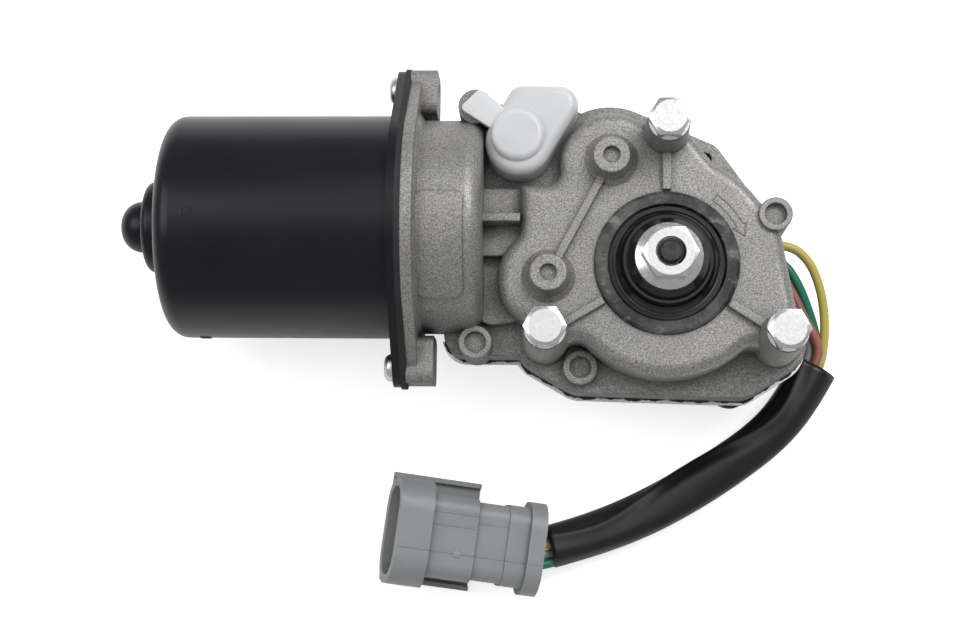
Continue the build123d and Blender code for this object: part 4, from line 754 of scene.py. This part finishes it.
def outer_edge(piece):
    """The longest edge loop round a flat piece's upper face, in metres."""
    mesh = bmesh.new()
    mesh.from_mesh(piece.data)
    bmesh.ops.remove_doubles(mesh, verts=mesh.verts, dist=SAME_POINT)
    least = max(v.co.z for v in mesh.verts) - SAME_HEIGHT
    upper = {f for f in mesh.faces if f.normal.z > FACING_UP and f.calc_center_median().z > least}
    neighbours = {}
    for edge in mesh.edges:
        if len([f for f in edge.link_faces if f in upper]) == 1:
            for v in edge.verts:
                neighbours.setdefault(v, []).append(edge.other_vert(v))
    loops = []
    while neighbours:
        loop = [next(iter(neighbours))]
        while True:
            onward = [v for v in neighbours.pop(loop[-1]) if v in neighbours]
            if not onward:
                break
            loop.append(onward[0])
        loops.append([v.co.copy() for v in loop])
    mesh.free()
    return max(loops, key=lambda loop: sum((a - b).length for a, b in zip(loop, loop[1:])))


def spaced(loop, step):
    """Points at even steps along a closed loop."""
    points = []
    left = 0.0
    for first, second in zip(loop, loop[1:] + loop[:1]):
        run = (second - first).length
        while left < run:
            points.append(first.lerp(second, left / run))
            left += step
        left -= run
    return points


def swelling(k):
    """How far the bead swells at a step."""
    return sum(share * math.sin(k * rate + phase) for share, rate, phase in SEALANT_WAVES)


def sealant():
    """The uneven black bead round the cover's gasket."""
    edge = spaced(outer_edge(frame["nodes"]["cover_gasket"]), SEALANT_STEP)
    middle = sum(edge, Vector()) / len(edge)
    swells = [swelling(k) for k in range(len(edge))]
    points = []
    for point, swell in zip(edge, swells):
        outwards = (point - middle).normalized()
        points.append((*(point + outwards * SEALANT_OUT * swell).xy, SEALANT_Z))
    data, spline = tube_curve("sealant", "POLY", points, SEALANT_DIAMETER, 2)
    spline.use_cyclic_u = True
    for target, swell in zip(spline.points, swells):
        target.radius = 1.0 + SEALANT_SWELL * swell
    add_piece("sealant", data, "black_rubber", "housing")


sealant()


# Light, floor and camera

def white_world():
    """A white surround that lights the part softly and that the camera sees as white."""
    world = bpy.data.worlds.new("studio")
    bpy.context.scene.world = world
    world.use_nodes = True
    nodes = world.node_tree.nodes
    links = world.node_tree.links
    light = nodes["Background"]
    seen = nodes.new("ShaderNodeBackground")
    for background, strength in ((light, SURROUND_LIGHT), (seen, SURROUND_SEEN)):
        background.inputs["Color"].default_value = WHITE
        background.inputs["Strength"].default_value = strength
    path = nodes.new("ShaderNodeLightPath")
    choose = nodes.new("ShaderNodeMixShader")
    links.new(path.outputs["Is Camera Ray"], choose.inputs["Fac"])
    links.new(light.outputs["Background"], choose.inputs[1])
    links.new(seen.outputs["Background"], choose.inputs[2])
    links.new(choose.outputs["Shader"], nodes["World Output"].inputs["Surface"])


def pale_floor():
    """A pale floor under the part, lifted to white in the camera, with the part's shadow."""
    bpy.ops.mesh.primitive_plane_add(size=FLOOR_SIZE, location=(0, 0, CAD_BOX[0][2] - FLOOR_DROP))
    floor = bpy.context.object
    floor.name = "floor"
    s = Shader("floor")
    tone = s.noise(3.0)
    body = s.ramp(tone, (0.3, (0.93, 0.93, 0.93)), (0.7, (0.96, 0.96, 0.96)))
    lift = s.level(s.node("ShaderNodeLightPath").outputs["Is Camera Ray"], 0.0, 1.0, 0.0, FLOOR_LIFT)
    material = s.finish(
        Base_Color=body, Roughness=0.9, Specular_IOR_Level=0.1, Emission_Color=WHITE, Emission_Strength=lift,
    )
    floor.data.materials.append(material)


def softbox(name, place, size, power):
    """An area light that faces the middle of the part."""
    data = bpy.data.lights.new(name, "AREA")
    data.shape = "RECTANGLE"
    data.size, data.size_y = size
    data.energy = power
    lamp = bpy.data.objects.new(name, data)
    bpy.context.collection.objects.link(lamp)
    lamp.location = place
    lamp.rotation_euler = (LIGHT_TARGET - Vector(place)).to_track_quat("-Z", "Y").to_euler()


def photo_camera():
    """A camera that sees the part as the photograph does."""
    data = bpy.data.cameras.new("camera")
    data.lens = CAMERA_LENS
    data.sensor_width = SENSOR_WIDTH
    data.sensor_fit = "HORIZONTAL"
    data.clip_start = CLIP_START
    camera = bpy.data.objects.new("camera", data)
    bpy.context.collection.objects.link(camera)
    turn = (
        Matrix.Rotation(math.radians(CAMERA_ROLL), 4, "Z")
        @ Matrix.Rotation(math.radians(CAMERA_TILT_X), 4, "X")
        @ Matrix.Rotation(math.radians(CAMERA_TILT_Y), 4, "Y")
    )
    camera.matrix_world = Matrix.Translation(CAMERA_PLACE) @ turn
    bpy.context.scene.camera = camera


white_world()
pale_floor()
for name, (place, size, power) in SOFTBOXES.items():
    softbox(name, place, size, power)
photo_camera()
bpy.context.scene.view_settings.view_transform = "Standard"
